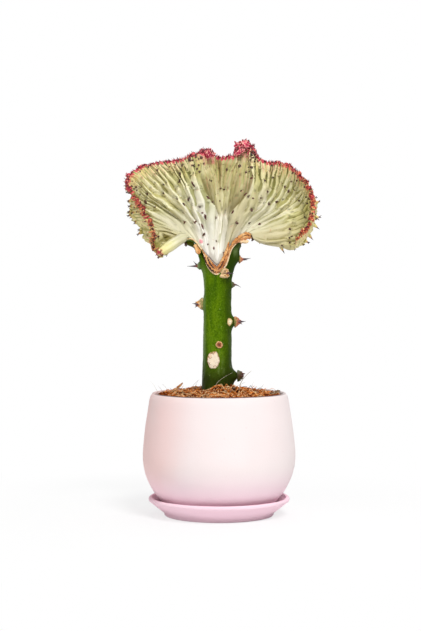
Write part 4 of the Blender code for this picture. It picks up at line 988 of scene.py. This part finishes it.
# The graft: the lip of healed tissue between the stem's cut and the fan's foot line, and the dried bark along it.
graft = dict(
    proud=1.1,  # mm, how far the lip stands out of the stem
    scionFoot=(27.8, 9.3),  # mm, half width and half depth of the scion where it sits on the stem
    ends=(-27.2, 27), tallest=((15, 9), (18, 5.6), (24, 3.6), (27, 1.6)),  # x of the tissue's ends, and its height by x, mm
    columns=220,
    around=36,
    # x and z along a strip, half width, half thickness, lift in mm, kind: 0 bark, 1 crevice, 2 cream edge
    strips=((((-27, 214.6), (-24.6, 216), (-21, 216.2), (-17.9, 213.8), (-15.2, 210.4), (-12.6, 206.8)), 0.55, 0.4,
            0.9, 2), (((-12.2, 205.6), (-10.8, 201), (-9.8, 197), (-7.6, 192.8), (-4.8, 189.8), (-2, 188.6),
            (0.6, 189.4)), 0.55, 0.4, 0.7, 2), (((0.8, 190), (3.4, 192.6), (5.6, 196), (7.2, 200.4), (8.6, 205.2),
            (10.6, 209.4), (13.4, 212.4)), 0.5, 0.35, 0.7, 2),
            (((-10.2, 203.4), (-8.6, 199.6), (-6, 195.8), (-3.6, 193), (-1.4, 191.6)), 1.9, 0.7, 1.2, 0),
            (((-11.4, 202.4), (-10, 198.4), (-8, 194.6), (-5.4, 191.6), (-2.6, 190.3)), 0.6, 0.35, 1.5, 1),
            (((-9, 202.4), (-7.8, 198.8), (-6, 195.6), (-3.4, 193)), 0.5, 0.3, 2.1, 1),
            (((-1.8, 193), (0.6, 196), (2.6, 199.4), (4.6, 204), (6.6, 209), (7.6, 214)), 1.2, 0.7, 1, 0),
            (((0.2, 192.4), (2.4, 195.2), (4.6, 199.2), (6.4, 203.6), (8.4, 208.4), (11, 212)), 0.9, 0.5, 0.8, 0),
            (((-0.8, 192.2), (1.4, 194.8), (3.6, 198.6)), 0.35, 0.3, 1.5, 1),
            (((9.6, 211.8), (12.2, 214.4), (15.2, 217), (18.6, 219.4), (22.4, 220.3), (25.2, 218.8), (26.4, 216.4)),
            1.3, 0.7, 1, 0), (((12.4, 213), (15.4, 215.2), (18.8, 217.2), (22, 217.8), (24.6, 216.4)), 0.8, 0.5, 0.9,
            0), (((23.6, 219.4), (25.6, 218), (26.4, 216), (25.6, 214.8)), 0.7, 0.5, 1.2, 1),
            (((15.8, 213.4), (18, 214.3), (20.6, 214), (23.2, 214.6)), 1.1, 0.9, 0.3, 2),
            (((-19, 212), (-17.6, 209.4), (-16.4, 207), (-15.2, 204.4)), 1.9, 0.6, 0.5, 0),
            (((-26.4, 213.6), (-26, 212.2), (-26.1, 210.6)), 0.9, 0.5, 0.4, 1)),
)


def graftFront(x, z):  # how far the stem's face is from the middle plane, or the scion's rounded foot where that stands out
    left, right, depth = stemReach(z)
    across = np.clip(np.abs(x - (right - left) / 2) / ((left + right) / 2), 0, 1)
    face = depth * (1 - across ** stem["squareness"]) ** (1 / stem["squareness"])
    wide, deep = graft["scionFoot"]
    return np.maximum(face, deep * np.sqrt(np.clip(1 - np.abs(x / wide) ** 5, 0, 1)))


def buildCallus(skin):
    # At each x a closed loop: half an oval over the front lip, the upper line to the back, half an oval, the lower line
    x = np.linspace(*graft["ends"], graft["columns"])[:, None]
    high = lookUp(fan["footLine"], x) - 0.3
    low = np.maximum(lookUp(stem["cut"], x) + 0.2, high - lookUp(graft["tallest"], x))
    middle, half = (low + high) / 2, np.maximum((high - low) / 2, 0.25)
    c, s = np.cos(circle(graft["around"])), np.sin(circle(graft["around"]))
    z = middle + half * np.sign(s) * np.abs(s) ** 0.7
    y = -c * graft["proud"] * np.minimum(half / 1.5, 1) - np.clip(3 * c, -1, 1) * graftFront(x, middle)
    points = np.stack(np.broadcast_arrays(x, y, z), -1)
    lumps = 0.35 * ripple(points, 5, 41) + 0.22 * ripple(points, 1.8, 42)
    points[..., 1] -= lumps * np.clip(3 * c, -1, 1)
    heal = np.concatenate([((z - low) / (high - low)).ravel(), [0.5, 0.5]])  # 0 at the lower line, 1 at the upper
    makePiece("graft_tissue", [(*closed(points, *points.mean(axis=1)[[0, -1]]), dict(heal=heal))], skin,
            ["graft_callus"])


def buildBark(skin):  # flat oval strips along the stem's face in front and behind, lifted clear of it and rippled
    shells = []
    for number, (line, halfWidth, halfThickness, lift, kind) in enumerate(graft["strips"]):
        for side in (-1, 1):
            x, z = np.array(line, float).T
            path = np.stack([x, side * (graftFront(x, z) + lift), z], -1)
            points, faces, rim = strip(path, np.array([0, side, 0.15]), halfWidth, halfThickness, number + 3)
            points = points + 0.14 * ripple(points, 1.6, 50 + number)[:, None] * [0, side, 0.4]
            shells.append((points, faces, dict(rim=np.abs(rim) if kind == 0 else 1 + kind + 0 * rim)))
    makePiece("graft_bark", shells, skin)


def callusMaterial():  # tan with a grain, green where the stem's skin runs on, dark along the cut
    begin("callusTan")
    grain = noise(420, 4, 0.6, 0.8)
    broad = noise(110)
    tan = ramp(grain, (0.25, 120, 66, 34), (0.45, 190, 124, 74), (0.7, 222, 170, 118))
    tan = mixed(between(broad, 0.45, 0.62), tan, (206, 140, 92))
    heal, x = attribute("heal"), add("SeparateXYZ", {0: work["coords"]}).outputs["X"]
    tan = mixed(between(heal, 0.86, 1), tan, (84, 46, 28))
    skin = times(between(x, -0.0105, -0.0145), between(heal, 0.72, 0.52))
    return finish(mixed(skin, tan, (74, 104, 14)), (grain, 0.0008, 0.8), (grain, 0.6, 0.85))


def barkMaterial():  # rust to cream bark, dark along its edges; crevices dark brown and edges cream by kind
    begin("barkTan")
    grain = noise(520, 4, 0.6, 0.5)
    broad = noise(150)
    tan = ramp(broad, (0.3, 160, 84, 28), (0.48, 206, 140, 72), (0.66, 230, 184, 124))
    tan = mixed(between(grain, 0.52, 0.68), tan, (116, 56, 20))
    rim = attribute("rim")
    tan = mixed(between(rim, 0.72, 0.96, 0, 0.8), tan, (88, 40, 20))
    tan = mixed(between(rim, 1.3, 1.7), tan, (62, 26, 14))
    tan = mixed(between(rim, 2.3, 2.7), tan, (230, 200, 156))
    return finish(tan, (grain, 0.0005, 0.8), (grain, 0.55, 0.8))


# Shields, spines and scars on the stem
marks = dict(
    rings=12, sides=28,
    padRise=0.95,  # height of a shield's pad against its size
    splitShield=6,  # the shield under the notch is split in two lobes
    shieldRough=0.4,  # unevenness of a pad against its height
    spineRadius=1.4 / 3.4, spineTip=0.1,  # radius at the foot against the size of the pad, and at the tip in mm
    spineSteps=14, spineSides=12,
    # degrees round, height, half width, half height, rise in mm, and which kind
    scars=((-82, 133.9, 3, 3.1, 0.75, 0), (-105, 121.4, 5.1, 7.7, 0.7, 1), (-38, 151.6, 2.5, 3, 1, 2),
            (100, 138, 3, 2.6, 0.7, 0)),
)


def onStem(around, height):  # place on the stem's surface in mm with the directions sideways, up and out
    angle = math.radians(around)
    place, ahead, behind = stemSurface(np.array([angle, angle + 0.05, angle - 0.05]), np.full(3, float(height)))
    side = unit(ahead - behind)
    return place, side, np.array([0, 0, 1]), np.array([side[1], -side[0], 0])


def halfRound(r):  # a half circle's height over the share of the way out
    return np.sqrt(np.clip(1 - r**2, 0, 1))


def dome(place, side, over, out, halfWidth, halfHeight, rise, seed, crown=halfRound, rough=0.22):
    # Rings out to an oval edge, raised by crown(share of the way out), with a back that lies inside the stem
    rings, sides = marks["rings"], marks["sides"]
    r, turn = np.linspace(0, 1, rings + 1)[1:, None], circle(sides)[None]
    edge = r * (1 + 0.09 * ripple(np.stack([np.cos(turn), np.sin(turn)], -1) * 2, 3, seed))
    narrowed = 1 - 0.7 * np.clip(-np.sin(turn), 0, 1) * min(halfHeight / halfWidth - 1, 0.6)
    wide, tall = np.cos(turn) * edge * halfWidth * narrowed, np.sin(turn) * edge * halfHeight
    rough = 1 + rough * ripple(np.stack([wide, tall, 0 * wide], -1), 1.5, seed + 1)
    height = rise * crown(r) * rough - 0.25
    top = place + wide[..., None] * side + tall[..., None] * over + height[..., None] * out
    middle = place + out * (rise * crown(np.zeros(1))[0] - 0.25)
    share = np.concatenate([np.broadcast_to(r, (rings, sides)).ravel(), np.ones(sides), [0, 1]])
    return *closed(np.concatenate([top, top[-1:] - out * 0.9]), middle, place - out * 1.2), share


def buildShields(skin):
    # Domes that fall by a power of the share of the way out, and on each spines along a parabola, thinning by a power
    shells, steps, sides = [], marks["spineSteps"], marks["spineSides"]
    for number, (around, height, size, _, tone, spines) in enumerate(shields):
        place, side, over, out = onStem(around, height)
        split = number == marks["splitShield"]
        # how far up the stem each lobe sits and its half height and width against the size
        lobes = [(0.38, 0.7, 0.85), (-0.5, 0.55, 0.95)] if split else [(0, 1.15, 0.85)]
        power = 3 if split or tone == 3 else 1.3
        for rise, tall, wide in lobes:
            points, faces, share = dome(place + over * rise * size, side, over, out, size * wide, size * tall,
                    marks["padRise"] * size, number + 60, lambda r: 1 - r**power, marks["shieldRough"])
            shells.append((points, faces, dict(share=0.3 + 0.6 * share if split else share, tone=tone + 0 * share)))
        for sideways, upward, length, bow in spines:
            heading = unit(out + side * sideways + over * upward)
            t = np.linspace(0, 1, steps)
            path = place + out * 0.35 * size + (heading * length + over * bow * t[:, None]) * t[:, None]
            radius = marks["spineTip"] + marks["spineRadius"] * size * (1 - t) ** 1.5
            share = np.concatenate([np.repeat(2 + t, sides), [2, 3]])
            shells.append((*tubes([path], [radius], sides), dict(share=share, tone=0 * share)))
    makePiece("stem_shields", shells, skin, [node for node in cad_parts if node.startswith("shield_")])


def shieldMaterial():
    # the pad's rings by its tone, and the spine from reddish at its foot to dark grey at its tip
    begin("shieldCork")
    share = attribute("share")
    grain = noise(900, 4, 0.6)
    broad = noise(260)
    drift = plus(share, spread(broad, -0.25, 0.25))
    pad = ramp(drift, (0.1, 150, 74, 44), (0.4, 222, 160, 92), (0.62, 238, 208, 158), (0.85, 214, 178, 132),
            (1, 150, 140, 80))
    tone = attribute("tone")
    pad = mixed(between(tone, 0.3, 0.7), pad, ramp(drift, (0.2, 150, 128, 104), (0.6, 176, 184, 150), (1, 98, 122, 60)))
    pad = mixed(between(tone, 1.3, 1.7), pad, ramp(drift, (0.2, 226, 176, 130), (0.5, 168, 84, 58),
            (0.75, 206, 138, 96), (1, 110, 112, 44)))
    pad = mixed(between(tone, 2.3, 2.7), pad, ramp(drift, (0.1, 116, 46, 42), (0.45, 84, 40, 32), (0.75, 70, 66, 30),
            (1, 58, 78, 22)))
    pad = mixed(between(grain, 0.56, 0.7, 0, 0.75), pad, (112, 44, 30))
    along = minus(share, 2)
    spine = ramp(along, (0, 176, 96, 70), (0.16, 122, 66, 56), (0.36, 74, 52, 60), (1, 38, 30, 38))
    spine = mixed(between(broad, 0.54, 0.66, 0, 0.3), spine, (110, 96, 104))
    return finish(mixed(between(share, 1.4, 1.9), pad, spine), (grain, 0.0004, 0.7), (grain, 0.45, 0.75))


def buildScars(skin):  # domes with a raised ring round a hollow, a flat top or a round one
    shells = []
    crowns = (lambda r: 0.9 + 0.7 * np.exp(-(((r - 0.75) / 0.16) ** 2)) - 0.9 * r**6, lambda r: (1 - r**6)
            * (0.8 + 0.2 * r), halfRound)
    for number, (around, height, halfWidth, halfHeight, rise, kind) in enumerate(marks["scars"]):
        points, faces, share = dome(*onStem(around, height), halfWidth, halfHeight, rise, number + 80, crowns[kind])
        shells.append((points, faces, dict(share=share + 10 * kind)))
    makePiece("stem_scars", shells, skin, ["leaf_scar", "offset_scar", "bud_scar", "back_leaf_scar"])


def scarMaterial():  # by kind: brown rings, cracked cream cork or a cream knob
    begin("scarCork")
    share = attribute("share")
    grain = noise(700, 4, 0.6)
    broad = noise(240, 2)
    near = plus(share, spread(grain, -0.1, 0.1))
    ring = ramp(near, (0.22, 90, 34, 20), (0.42, 172, 92, 44), (0.6, 120, 50, 28), (0.7, 232, 184, 128),
            (0.88, 214, 160, 104), (1, 70, 66, 24))
    pale = mixed(between(broad, 0.56, 0.66), (242, 226, 200), (232, 200, 168))
    crack = add("TexVoronoi", {"Vector": work["coords"], "Scale": 260}, feature="DISTANCE_TO_EDGE").outputs["Distance"]
    crack = times(between(crack, 0.05, 0.01), between(broad, 0.46, 0.54))
    pale = mixed(crack, pale, (128, 66, 44))
    pale = mixed(between(near, 10.84, 10.95), pale, (150, 120, 64))
    knob = mixed(between(near, 20.3, 20.8), (238, 224, 190), (206, 176, 120))
    skin = mixed(calc("GREATER_THAN", share, 5), ring, pale)
    return finish(mixed(calc("GREATER_THAN", share, 15), skin, knob), (grain, 0.0005, 0.6), (grain, 0.6, 0.85))


# Pot and saucer: outlines in mm from the middle, turned round the upright axis
pottery = dict(
    sides=192,
    potOutline=((53.9, 93.4), (54.8, 90), (56.2, 81), (57.8, 71), (59.1, 59.5), (60, 48), (59.6, 40), (57.7, 31.5),
            (54.6, 24.3), (51, 18), (46.2, 12.2), (41, 7.4), (37, 4.3)),
    potLip=(51.5, 94.6, 1.35),  # middle and radius of the rounded lip
    potInside=((50.1, 93), (50.3, 88), (52.2, 71), (54.6, 48), (53, 31.5), (47.8, 19), (42.5, 13), (36, 11), (6, 11)),
    potUnder=((6, 6.5), (32.5, 6.5), (33.5, 4.3)),
    saucerInside=((0, 4), (39.8, 4), (42, 4.8)),
    saucerRise=(52.4, 13.4), saucerFall=(54.6, 11),  # where the lip's round starts and the outside goes on
    saucerLip=(53.7, 12.5, 1.8),
    saucerUnder=((43.4, 2.2), (43, 1.6), (43, 0.5), (42.5, 0), (0, 0)),
    wobble=0.12,  # mm, hand-thrown unevenness
)


def turned(profile, sides):  # a profile turned round Z; one that starts and ends on the axis is closed there
    profile = np.array(profile, float)
    onAxis = profile[0, 0] == 0
    r, z = (profile[1:-1] if onAxis else profile).T[..., None]
    rings = np.stack(np.broadcast_arrays(r * np.cos(circle(sides)), r * np.sin(circle(sides)), z), -1)
    if onAxis:
        return closed(rings, (0, 0, profile[0, 1]), (0, 0, profile[-1, 1]))
    return rings.reshape(-1, 3), [gridFaces(len(r), sides, aroundRows=True)]


def arc(middleR, middleZ, radius, start, end, steps):  # points on a circle between two angles in degrees
    turn = np.radians(np.linspace(start, end, steps))
    return np.stack([middleR + radius * np.cos(turn), middleZ + radius * np.sin(turn)], -1)


def denser(points, gap):  # straight lines between points cut into steps of about gap
    points = np.array(points, float)
    length = np.concatenate([[0], np.linalg.norm(np.diff(points, axis=0), axis=1).cumsum()])
    at = np.linspace(0, length[-1], max(2, int(length[-1] / gap)))
    return np.stack([np.interp(at, length, points[:, 0]), np.interp(at, length, points[:, 1])], -1)


def buildPottery(skin):  # both outlines turned round the upright axis, and their radius rippled a little
    lines = [through(line, np.linspace(0, len(line) - 1, steps)) for line, steps in ((pottery["potInside"][::-1], 40),
            (pottery["potOutline"], 90))]
    profile = np.concatenate([lines[0], arc(*pottery["potLip"], 180, 12, 14), lines[1], pottery["potUnder"][::-1]])
    points, faces = turned(profile, pottery["sides"])
    points = points + unit(points * [1, 1, 0]) * (pottery["wobble"] * (ripple(points, 45, 71) - 1.2))[:, None]
    makePiece("pot_clay", [(points, faces, {})], skin, ["pot"])
    inside, under = pottery["saucerInside"], pottery["saucerUnder"]
    rise, fall = pottery["saucerRise"], pottery["saucerFall"]
    profile = np.concatenate([inside[:1], denser(inside[1:], 3)[:-1], denser([inside[-1], rise], 1.5),
            arc(*pottery["saucerLip"], 135, -45, 14), denser([fall, under[0]], 1.5), under[1:]])
    points, faces = turned(profile, pottery["sides"])
    points[:, :2] *= (1 - 0.0012 * (1 + ripple(points / 40, 1, 72)[:, None]))
    makePiece("saucer_clay", [(points, faces, {})], skin, ["saucer"])


def clayMaterial():  # near white pink, with painted shade as a deeper pink towards the foot and the left side, and a painted shadow as a dark band on top of the lip
    begin("clayPink")
    broad = noise(14)
    grain = noise(1100, 3, 0.6)
    speck = noise(420, 2)
    parts = add("SeparateXYZ", {0: work["coords"]}).outputs
    z, x = parts["Z"], plus(parts["X"], spread(broad, -0.008, 0.008))
    pink = ramp(broad, (0.3, 238, 224, 223), (0.7, 240, 229, 228))
    # painted shade: deeper pink towards the left side and towards the foot
    pink = mixed(between(x, -0.022, -0.056, 0, 0.85), pink, (245, 210, 206))
    pink = mixed(between(z, 0.044, 0.01, 0, 0.9), pink, (249, 215, 228))
    pink = mixed(between(speck, 0.72, 0.8, 0, 0.35), pink, (216, 176, 176))
    away = calc("SQRT", plus(calc("POWER", parts["X"], 2), calc("POWER", parts["Y"], 2)))
    # painted shadow: a dark band on top of the lip, strongest in front
    lipShadow = times(between(plus(z, times(speck, 0.0006)), 0.0952, 0.0956), between(away, 0.0526, 0.0522),
            between(parts["Y"], -0.005, -0.03, 0.25, 0.9))
    pink = mixed(lipShadow, pink, (78, 52, 40))
    return finish(pink, (grain, 0.0003, 0.35), (grain, 0.7, 0.88), 0.25)


# Coir, husk and hairs in the pot
bed = dict(
    edge=93.8, crown=96.6, radius=49.8,  # mm, height near the wall and in the middle, and how far it reaches
    heaps=((-1, -15, 7.5, 6, 6.6), (12, -13, 7, 6, 5)),  # x and y of the heaps at the stem, reach in x and y, height
    stemRadius=11.8,  # mm, kept clear of coir
    floor=80,  # mm, height of the bed's underside
    rings=70, sides=200,
    strands=2000, crumbs=1900, flakes=420,
    strandLength=(3, 14), strandRadius=(0.12, 0.29),
    # smallest and largest half sizes of the flat flakes and of the crumbs, mm
    flakeSize=((0.5, 1.2, 0.2), (1.1, 2.8, 0.45)), crumbSize=((0.3, 0.4, 0.3), (0.8, 1.1, 0.7)),
    seed=17,
)


def bedHeight(x, y):  # a dome that sinks with a power of the distance from the middle, with two sine lumps
    share = np.clip(1 - (np.hypot(x, y) / bed["radius"]) ** 2, 0, 1) ** 0.9
    lumps = np.sin(x / 5.1 + 1.3) * np.sin(y / 4.3 + 0.4) + np.sin((x + y) / 7.7)
    heap = sum(tall * np.exp(-(((x - middleX) / wide) ** 2) - ((y - middleY) / deep) ** 2) for middleX, middleY, wide,
            deep, tall in bed["heaps"])
    sunk = 2.2 * smoothStep(0.94, 1, np.hypot(x, y) / bed["radius"])  # a narrow gap along the wall
    return bed["edge"] + (bed["crown"] - bed["edge"]) * share + 0.5 * lumps * np.clip(share * 3, 0, 1) + heap - sunk


def buildBed(skin):  # rings out to the wall, roughened by two ripples, over a flat floor inside the pot
    r, turn = np.linspace(1.5, bed["radius"], bed["rings"])[:, None], circle(bed["sides"])
    x, y = r * np.cos(turn), r * np.sin(turn)
    flat = np.stack([x, y], -1)
    rough = 0.7 * ripple(flat, 3.2, 91, 11) + 0.45 * ripple(flat, 1.3, 92, 15)
    top = np.stack([x, y, bedHeight(x, y) - 1.7 + rough], -1)
    wall = np.stack([x[-1:] * 0.985, y[-1:] * 0.985, 0 * x[-1:] + bed["floor"]], -1)
    shell = closed(np.concatenate([top, wall]), (0, 0, bed["crown"] - 0.9), (0, 0, bed["floor"]))
    makePiece("coir_bed", [(*shell, {})], skin, ["potting_mix"])


def insideBed(x, y, margin=0.8):  # pulls places in from the pot's wall and out of the stem
    away = np.hypot(x, y)
    pull = np.minimum(1, (bed["radius"] - margin) / np.maximum(away, 1e-6)) * np.maximum(1,
            bed["stemRadius"] / np.maximum(away, 1e-6))
    return x * pull, y * pull


def paintedWallShade(away):  # 1 over most of the bed, falling to a quarter along the wall: painted shade that darkens the coir there
    return 1 - 0.75 * smoothStep(0.84, 0.95, away / bed["radius"])


def buildStrands(skin):  # thin tubes whose heading drifts step by step, arched a little, a few of them rising at one end
    rng = np.random.default_rng(bed["seed"])
    count, steps, sides = bed["strands"], 8, 5
    t = np.linspace(0, 1, steps)
    away, turn = bed["radius"] * np.sqrt(rng.uniform(0.06, 1, count)), rng.uniform(0, 2 * math.pi, count)
    length = rng.uniform(*bed["strandLength"], count)
    heading = rng.uniform(0, 2 * math.pi, count)[:, None] + np.cumsum(rng.normal(0, 0.28, (count, steps)), axis=1)
    step = length[:, None] / (steps - 1)
    x = (away * np.cos(turn))[:, None] + np.cumsum(np.cos(heading), axis=1) * step
    y = (away * np.sin(turn))[:, None] + np.cumsum(np.sin(heading), axis=1) * step
    x, y = insideBed(x, y)
    lift = rng.uniform(-1.2, 0.9, count)[:, None] + rng.normal(0, 0.35, (count, steps))
    arch = rng.gamma(1.2, 0.7, count)[:, None] * np.sin(math.pi * t) * length[:, None] / 14
    rises = (rng.random(count) < 0.08) & (away < 0.8 * bed["radius"])
    risen = np.where(rises, rng.uniform(1, 4.5, count), 0)[:, None] * t**1.5
    z = bedHeight(x, y) + lift + arch + risen
    radius = rng.uniform(*bed["strandRadius"], count)[:, None] * (1 - 0.45 * np.abs(2 * t - 1) ** 2)
    shell = tubes(np.stack([x, y, z], -1), radius, sides)
    # tone by random share, darkened along the wall by painted shade
    tone = np.repeat(rng.random(count) ** 1.2 * paintedWallShade(away), steps * sides + 2)
    makePiece("coir_strands", [(*shell, dict(tone=tone))], skin)


def lumpShape(rng):  # a squashed ball of three rings of six with shaken points
    rings = [np.stack([np.cos(circle(6) + k) * w, np.sin(circle(6) + k) * w, np.full(6, h)], -1) for k, w,
            h in ((0, 0.7, -0.7), (0.5, 1, 0), (0, 0.7, 0.7))]
    points, faces = closed(rings, (0, 0, -1), (0, 0, 1))
    return points * rng.uniform(0.8, 1.2, (20, 1)), turnedOver(faces)


def buildCrumbs(skin):  # lumps and flat flakes scattered evenly over the bed, a little above or below its surface
    rng = np.random.default_rng(bed["seed"] + 1)
    shape = lumpShape(rng)
    count = bed["crumbs"] + bed["flakes"]
    flake = np.arange(count) < bed["flakes"]
    away, turn = bed["radius"] * np.sqrt(rng.uniform(0.07, 0.97, count)), rng.uniform(0, 2 * math.pi, count)
    x, y = insideBed(away * np.cos(turn), away * np.sin(turn), 1.6)
    places = np.stack([x, y, bedHeight(x, y) + rng.uniform(-0.4, 0.7, count)], -1)
    ahead = rng.normal(size=(count, 3)) * [1, 1, 0.35]
    frames = framesFrom(ahead, [0, 0, 1] + rng.normal(0, 0.25, (count, 3)))
    sizes = np.where(flake[:, None], *[rng.uniform(*bed[key], (count, 3)) for key in ("flakeSize", "crumbSize")])
    shell = scatter(shape, places, frames, sizes)
    # tone by random share, darkened along the wall by painted shade
    tone = np.where(flake, rng.uniform(0.3, 1, count), rng.uniform(0, 0.9, count)) * paintedWallShade(away)
    makePiece("coir_crumbs", [(*shell, dict(tone=np.repeat(tone, len(shape[0]))))], skin)


def coirMaterial(name, dark):  # dark brown to straw by tone and grain, or nearly black, partly the coir's own dark brown and partly painted shade in the gaps between strands, and grey where worn
    begin(name)
    grain = noise(520, 4, 0.6)
    tone = attribute("tone")
    shade = plus(times(tone, 0 if dark else 0.75), times(grain, 0.5))
    if dark:
        # the bed under the strands: nearly black, partly painted shade in the gaps between them
        brown = ramp(grain, (0.3, 18, 7, 3), (0.5, 50, 20, 6), (0.7, 96, 42, 12))
    else:
        brown = ramp(shade, (0.22, 40, 12, 2), (0.4, 150, 62, 10), (0.62, 232, 136, 52), (0.92, 255, 222, 168))
        worn = ramp(grain, (0.35, 52, 40, 28), (0.5, 116, 98, 76), (0.65, 176, 158, 130))
        brown = mixed(attribute("worn"), brown, worn)
    return finish(brown, (grain, 0.001, 0.8), (grain, 0.75, 0.95), 0.1)


# Larger pieces of husk and the hairs that stand out of the bed
litter = dict(
    # place x, y, heading in degrees, length, half width, half thickness and rise of the far end in mm, and how grey it is
    husks=((-38.5, -10, 8, 10.5, 1.3, 0.6, 7.5, 0.5), (-8, -36, -12, 13, 1.1, 0.6, 0.6, 0),
            (38, -16, 14, 10, 1.6, 0.6, 2.4, 0.9), (22, -30, 60, 11, 1.1, 0.55, 0.8, 0), (12, 34, 5, 14, 1.2, 0.6, 1,
            0.2), (-24, 28, -40, 12, 1.3, 0.6, 1.5, 0.3)),
    # foot x, y, then lean of the tip in x and y, its rise, and radius at the foot
    hairs=((-20, -8, 4, -1, 11, 0.16), (-22, -12, 6, -3, 12, 0.14), (8, -22, 12, 2, 10, 0.18),
            (28, -10, 4, -2, 6, 0.2), (30, -6, 5, 2, 8, 0.24), (6, 24, -9, 4, 12, 0.15), (-3, -18, 13, 3, 13, 0.2),
            (-44, -6, -3, -2, 8, 0.16), (-40, 2, -5, 1, 8, 0.16), (25, 12, 3, 5, 9, 0.15), (-47, -8, -7, 2, 13, 0.14),
            (15.5, -16, 9, 0, 17, 0.42)),
)


def buildLitter(skin, hairSkin):
    # Husks are strips whose far end rises by a power of the way along; hairs are tubes that lean by a power and rise by a
    # parabola
    shells, t = [], np.linspace(0, 1, 5)
    for number, (x, y, heading, length, halfWidth, halfThickness, rise, worn) in enumerate(litter["husks"]):
        turn = math.radians(heading)
        x, y = x + t * length * math.cos(turn), y + t * length * math.sin(turn)
        z = bedHeight(x, y).max() + 0.7 + rise * t**1.3 + 0.3 * np.sin(t * 7 + number)
        points, faces, rim = strip(np.stack([x, y, z], -1), np.array([0, -0.4, 1]), halfWidth, halfThickness, number + 21)
        shells.append((points, faces, dict(tone=0.4 + 0.45 * (np.abs(rim) > 0.9), worn=worn + 0 * rim)))
    makePiece("husk_pieces", shells, skin, [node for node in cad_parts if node.startswith("husk_")])
    x, y, leanX, leanY, rise, radius = np.array(litter["hairs"], float).T[..., None]
    steps, sides = 12, 6
    t = np.linspace(0, 1, steps)[None]
    paths = np.stack([x + leanX * t**1.6 + 0.5 * np.sin(5 * t + x) * t, y + leanY * t**1.6, bedHeight(x, y) + rise * t
            * (1 - 0.12 * t)], -1)
    tone = np.repeat(np.linspace(0.4, 1, len(paths)), steps * sides + 2)
    makePiece("fibre_hairs", [(*tubes(paths, radius * (1 - 0.6 * t), sides), dict(tone=tone))], hairSkin,
            [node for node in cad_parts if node.startswith("fibre_")])


def hairMaterial():  # grey brown to pale grey
    begin("hairPale")
    shade = noise(300)
    tone = plus(times(attribute("tone"), 0.5), times(shade, 0.5))
    return finish(ramp(tone, (0.3, 132, 104, 78), (0.8, 196, 190, 176)), (shade, 0.0003, 0.4), 0.7)


fleshSkin = fleshMaterial()
front, back = buildFan(fleshSkin)
rollEnd = buildRoll(fleshSkin)
thornSkin = thornMaterial()
buildThorns(front, back, thornSkin, toothMaterial())
buildRim(front, back, buildRuffles(ruffleMaterial()), rollEnd, beadMaterial())
buildBlemishes(front, blemishMaterial())
buildStem(stemMaterial())
buildCallus(callusMaterial())
buildBark(barkMaterial())
buildShields(shieldMaterial())
buildScars(scarMaterial())
buildPottery(clayMaterial())
buildBed(coirMaterial("coirDark", True))
buildStrands(coirMaterial("coirStrand", False))
buildCrumbs(coirMaterial("coirCrumb", False))
buildLitter(coirMaterial("huskTan", False), hairMaterial())


# floor, light and camera
studio = dict(
    camera=(0, -1.164, 0.184), aim=(-0.0067, 0, 0.1564), lens=84.7, sensor=36,
    floorSize=8, worldStrength=0.36,
    # name, place, size, watts
    lamps=(("key", (0.45, -1.1, 1.45), 0.5, 23), ("fill", (-1.2, -1.1, 0.6), 1.3, 4), ("top", (0.1, 0.6, 1.6), 1.2, 6)),
)


def aimed(name, data, place, target):
    made = bpy.data.objects.new(name, data)
    bpy.context.scene.collection.objects.link(made)
    made.location = place
    made.rotation_euler = (Vector(target) - Vector(place)).to_track_quat("-Z", "Y").to_euler()
    return made


def shaded(share, a, b, out):  # a mix of two shaders as what the world or a material shows
    made = add("MixShader", {0: share, 1: a.outputs[0], 2: b.outputs[0]})
    connect(out, {"Surface": made.outputs[0]})


def buildStudio():  # camera, three lamps, a white world and a white floor that catches the shadow
    scene = bpy.context.scene
    scene.view_settings.view_transform = "Standard"
    lens = bpy.data.cameras.new("camera")
    lens.lens, lens.sensor_width, lens.sensor_fit = studio["lens"], studio["sensor"], "AUTO"
    scene.camera = aimed("camera", lens, studio["camera"], studio["aim"])
    for name, place, size, watts in studio["lamps"]:
        lamp = bpy.data.lights.new(name, "AREA")
        lamp.size, lamp.energy = size, watts
        aimed(name, lamp, place, (0, 0, 0.16))
    scene.world = bpy.data.worlds.new("studio")
    scene.world.use_nodes = True
    work["tree"] = scene.world.node_tree
    work["tree"].nodes.clear()
    white = (1, 1, 1, 1)
    path = add("LightPath").outputs
    seen = calc("MAXIMUM", path["Is Camera Ray"], calc("MAXIMUM", path["Is Glossy Ray"], path["Is Transmission Ray"]))
    light, shown = (add("Background", {"Color": white, "Strength": strength}) for strength in (studio["worldStrength"], 1))
    shaded(seen, light, shown, add("OutputWorld"))
    half = studio["floorSize"] / 2
    mesh = bpy.data.meshes.new("floor")
    mesh.from_pydata([(-half, -half, 0), (half, -half, 0), (half, half, 0), (-half, half, 0)], [], [(0, 1, 2, 3)])
    floor = bpy.data.objects.new("floor", mesh)
    scene.collection.objects.link(floor)
    begin("floorWhite")
    shader, out = (work["tree"].nodes[name] for name in ("Principled BSDF", "Material Output"))
    connect(shader, {"Base Color": (0.9, 0.9, 0.9, 1), "Roughness": 0.9})
    glow = add("Emission", {"Color": white, "Strength": 1})
    away = add("VectorMath", {0: work["coords"]}, operation="LENGTH").outputs["Value"]
    seen = times(add("LightPath").outputs["Is Camera Ray"], between(away, 0.06, 0.3, 0.72, 1))
    shaded(seen, shader, glow, out)
    mesh.materials.append(work["material"])


buildStudio()
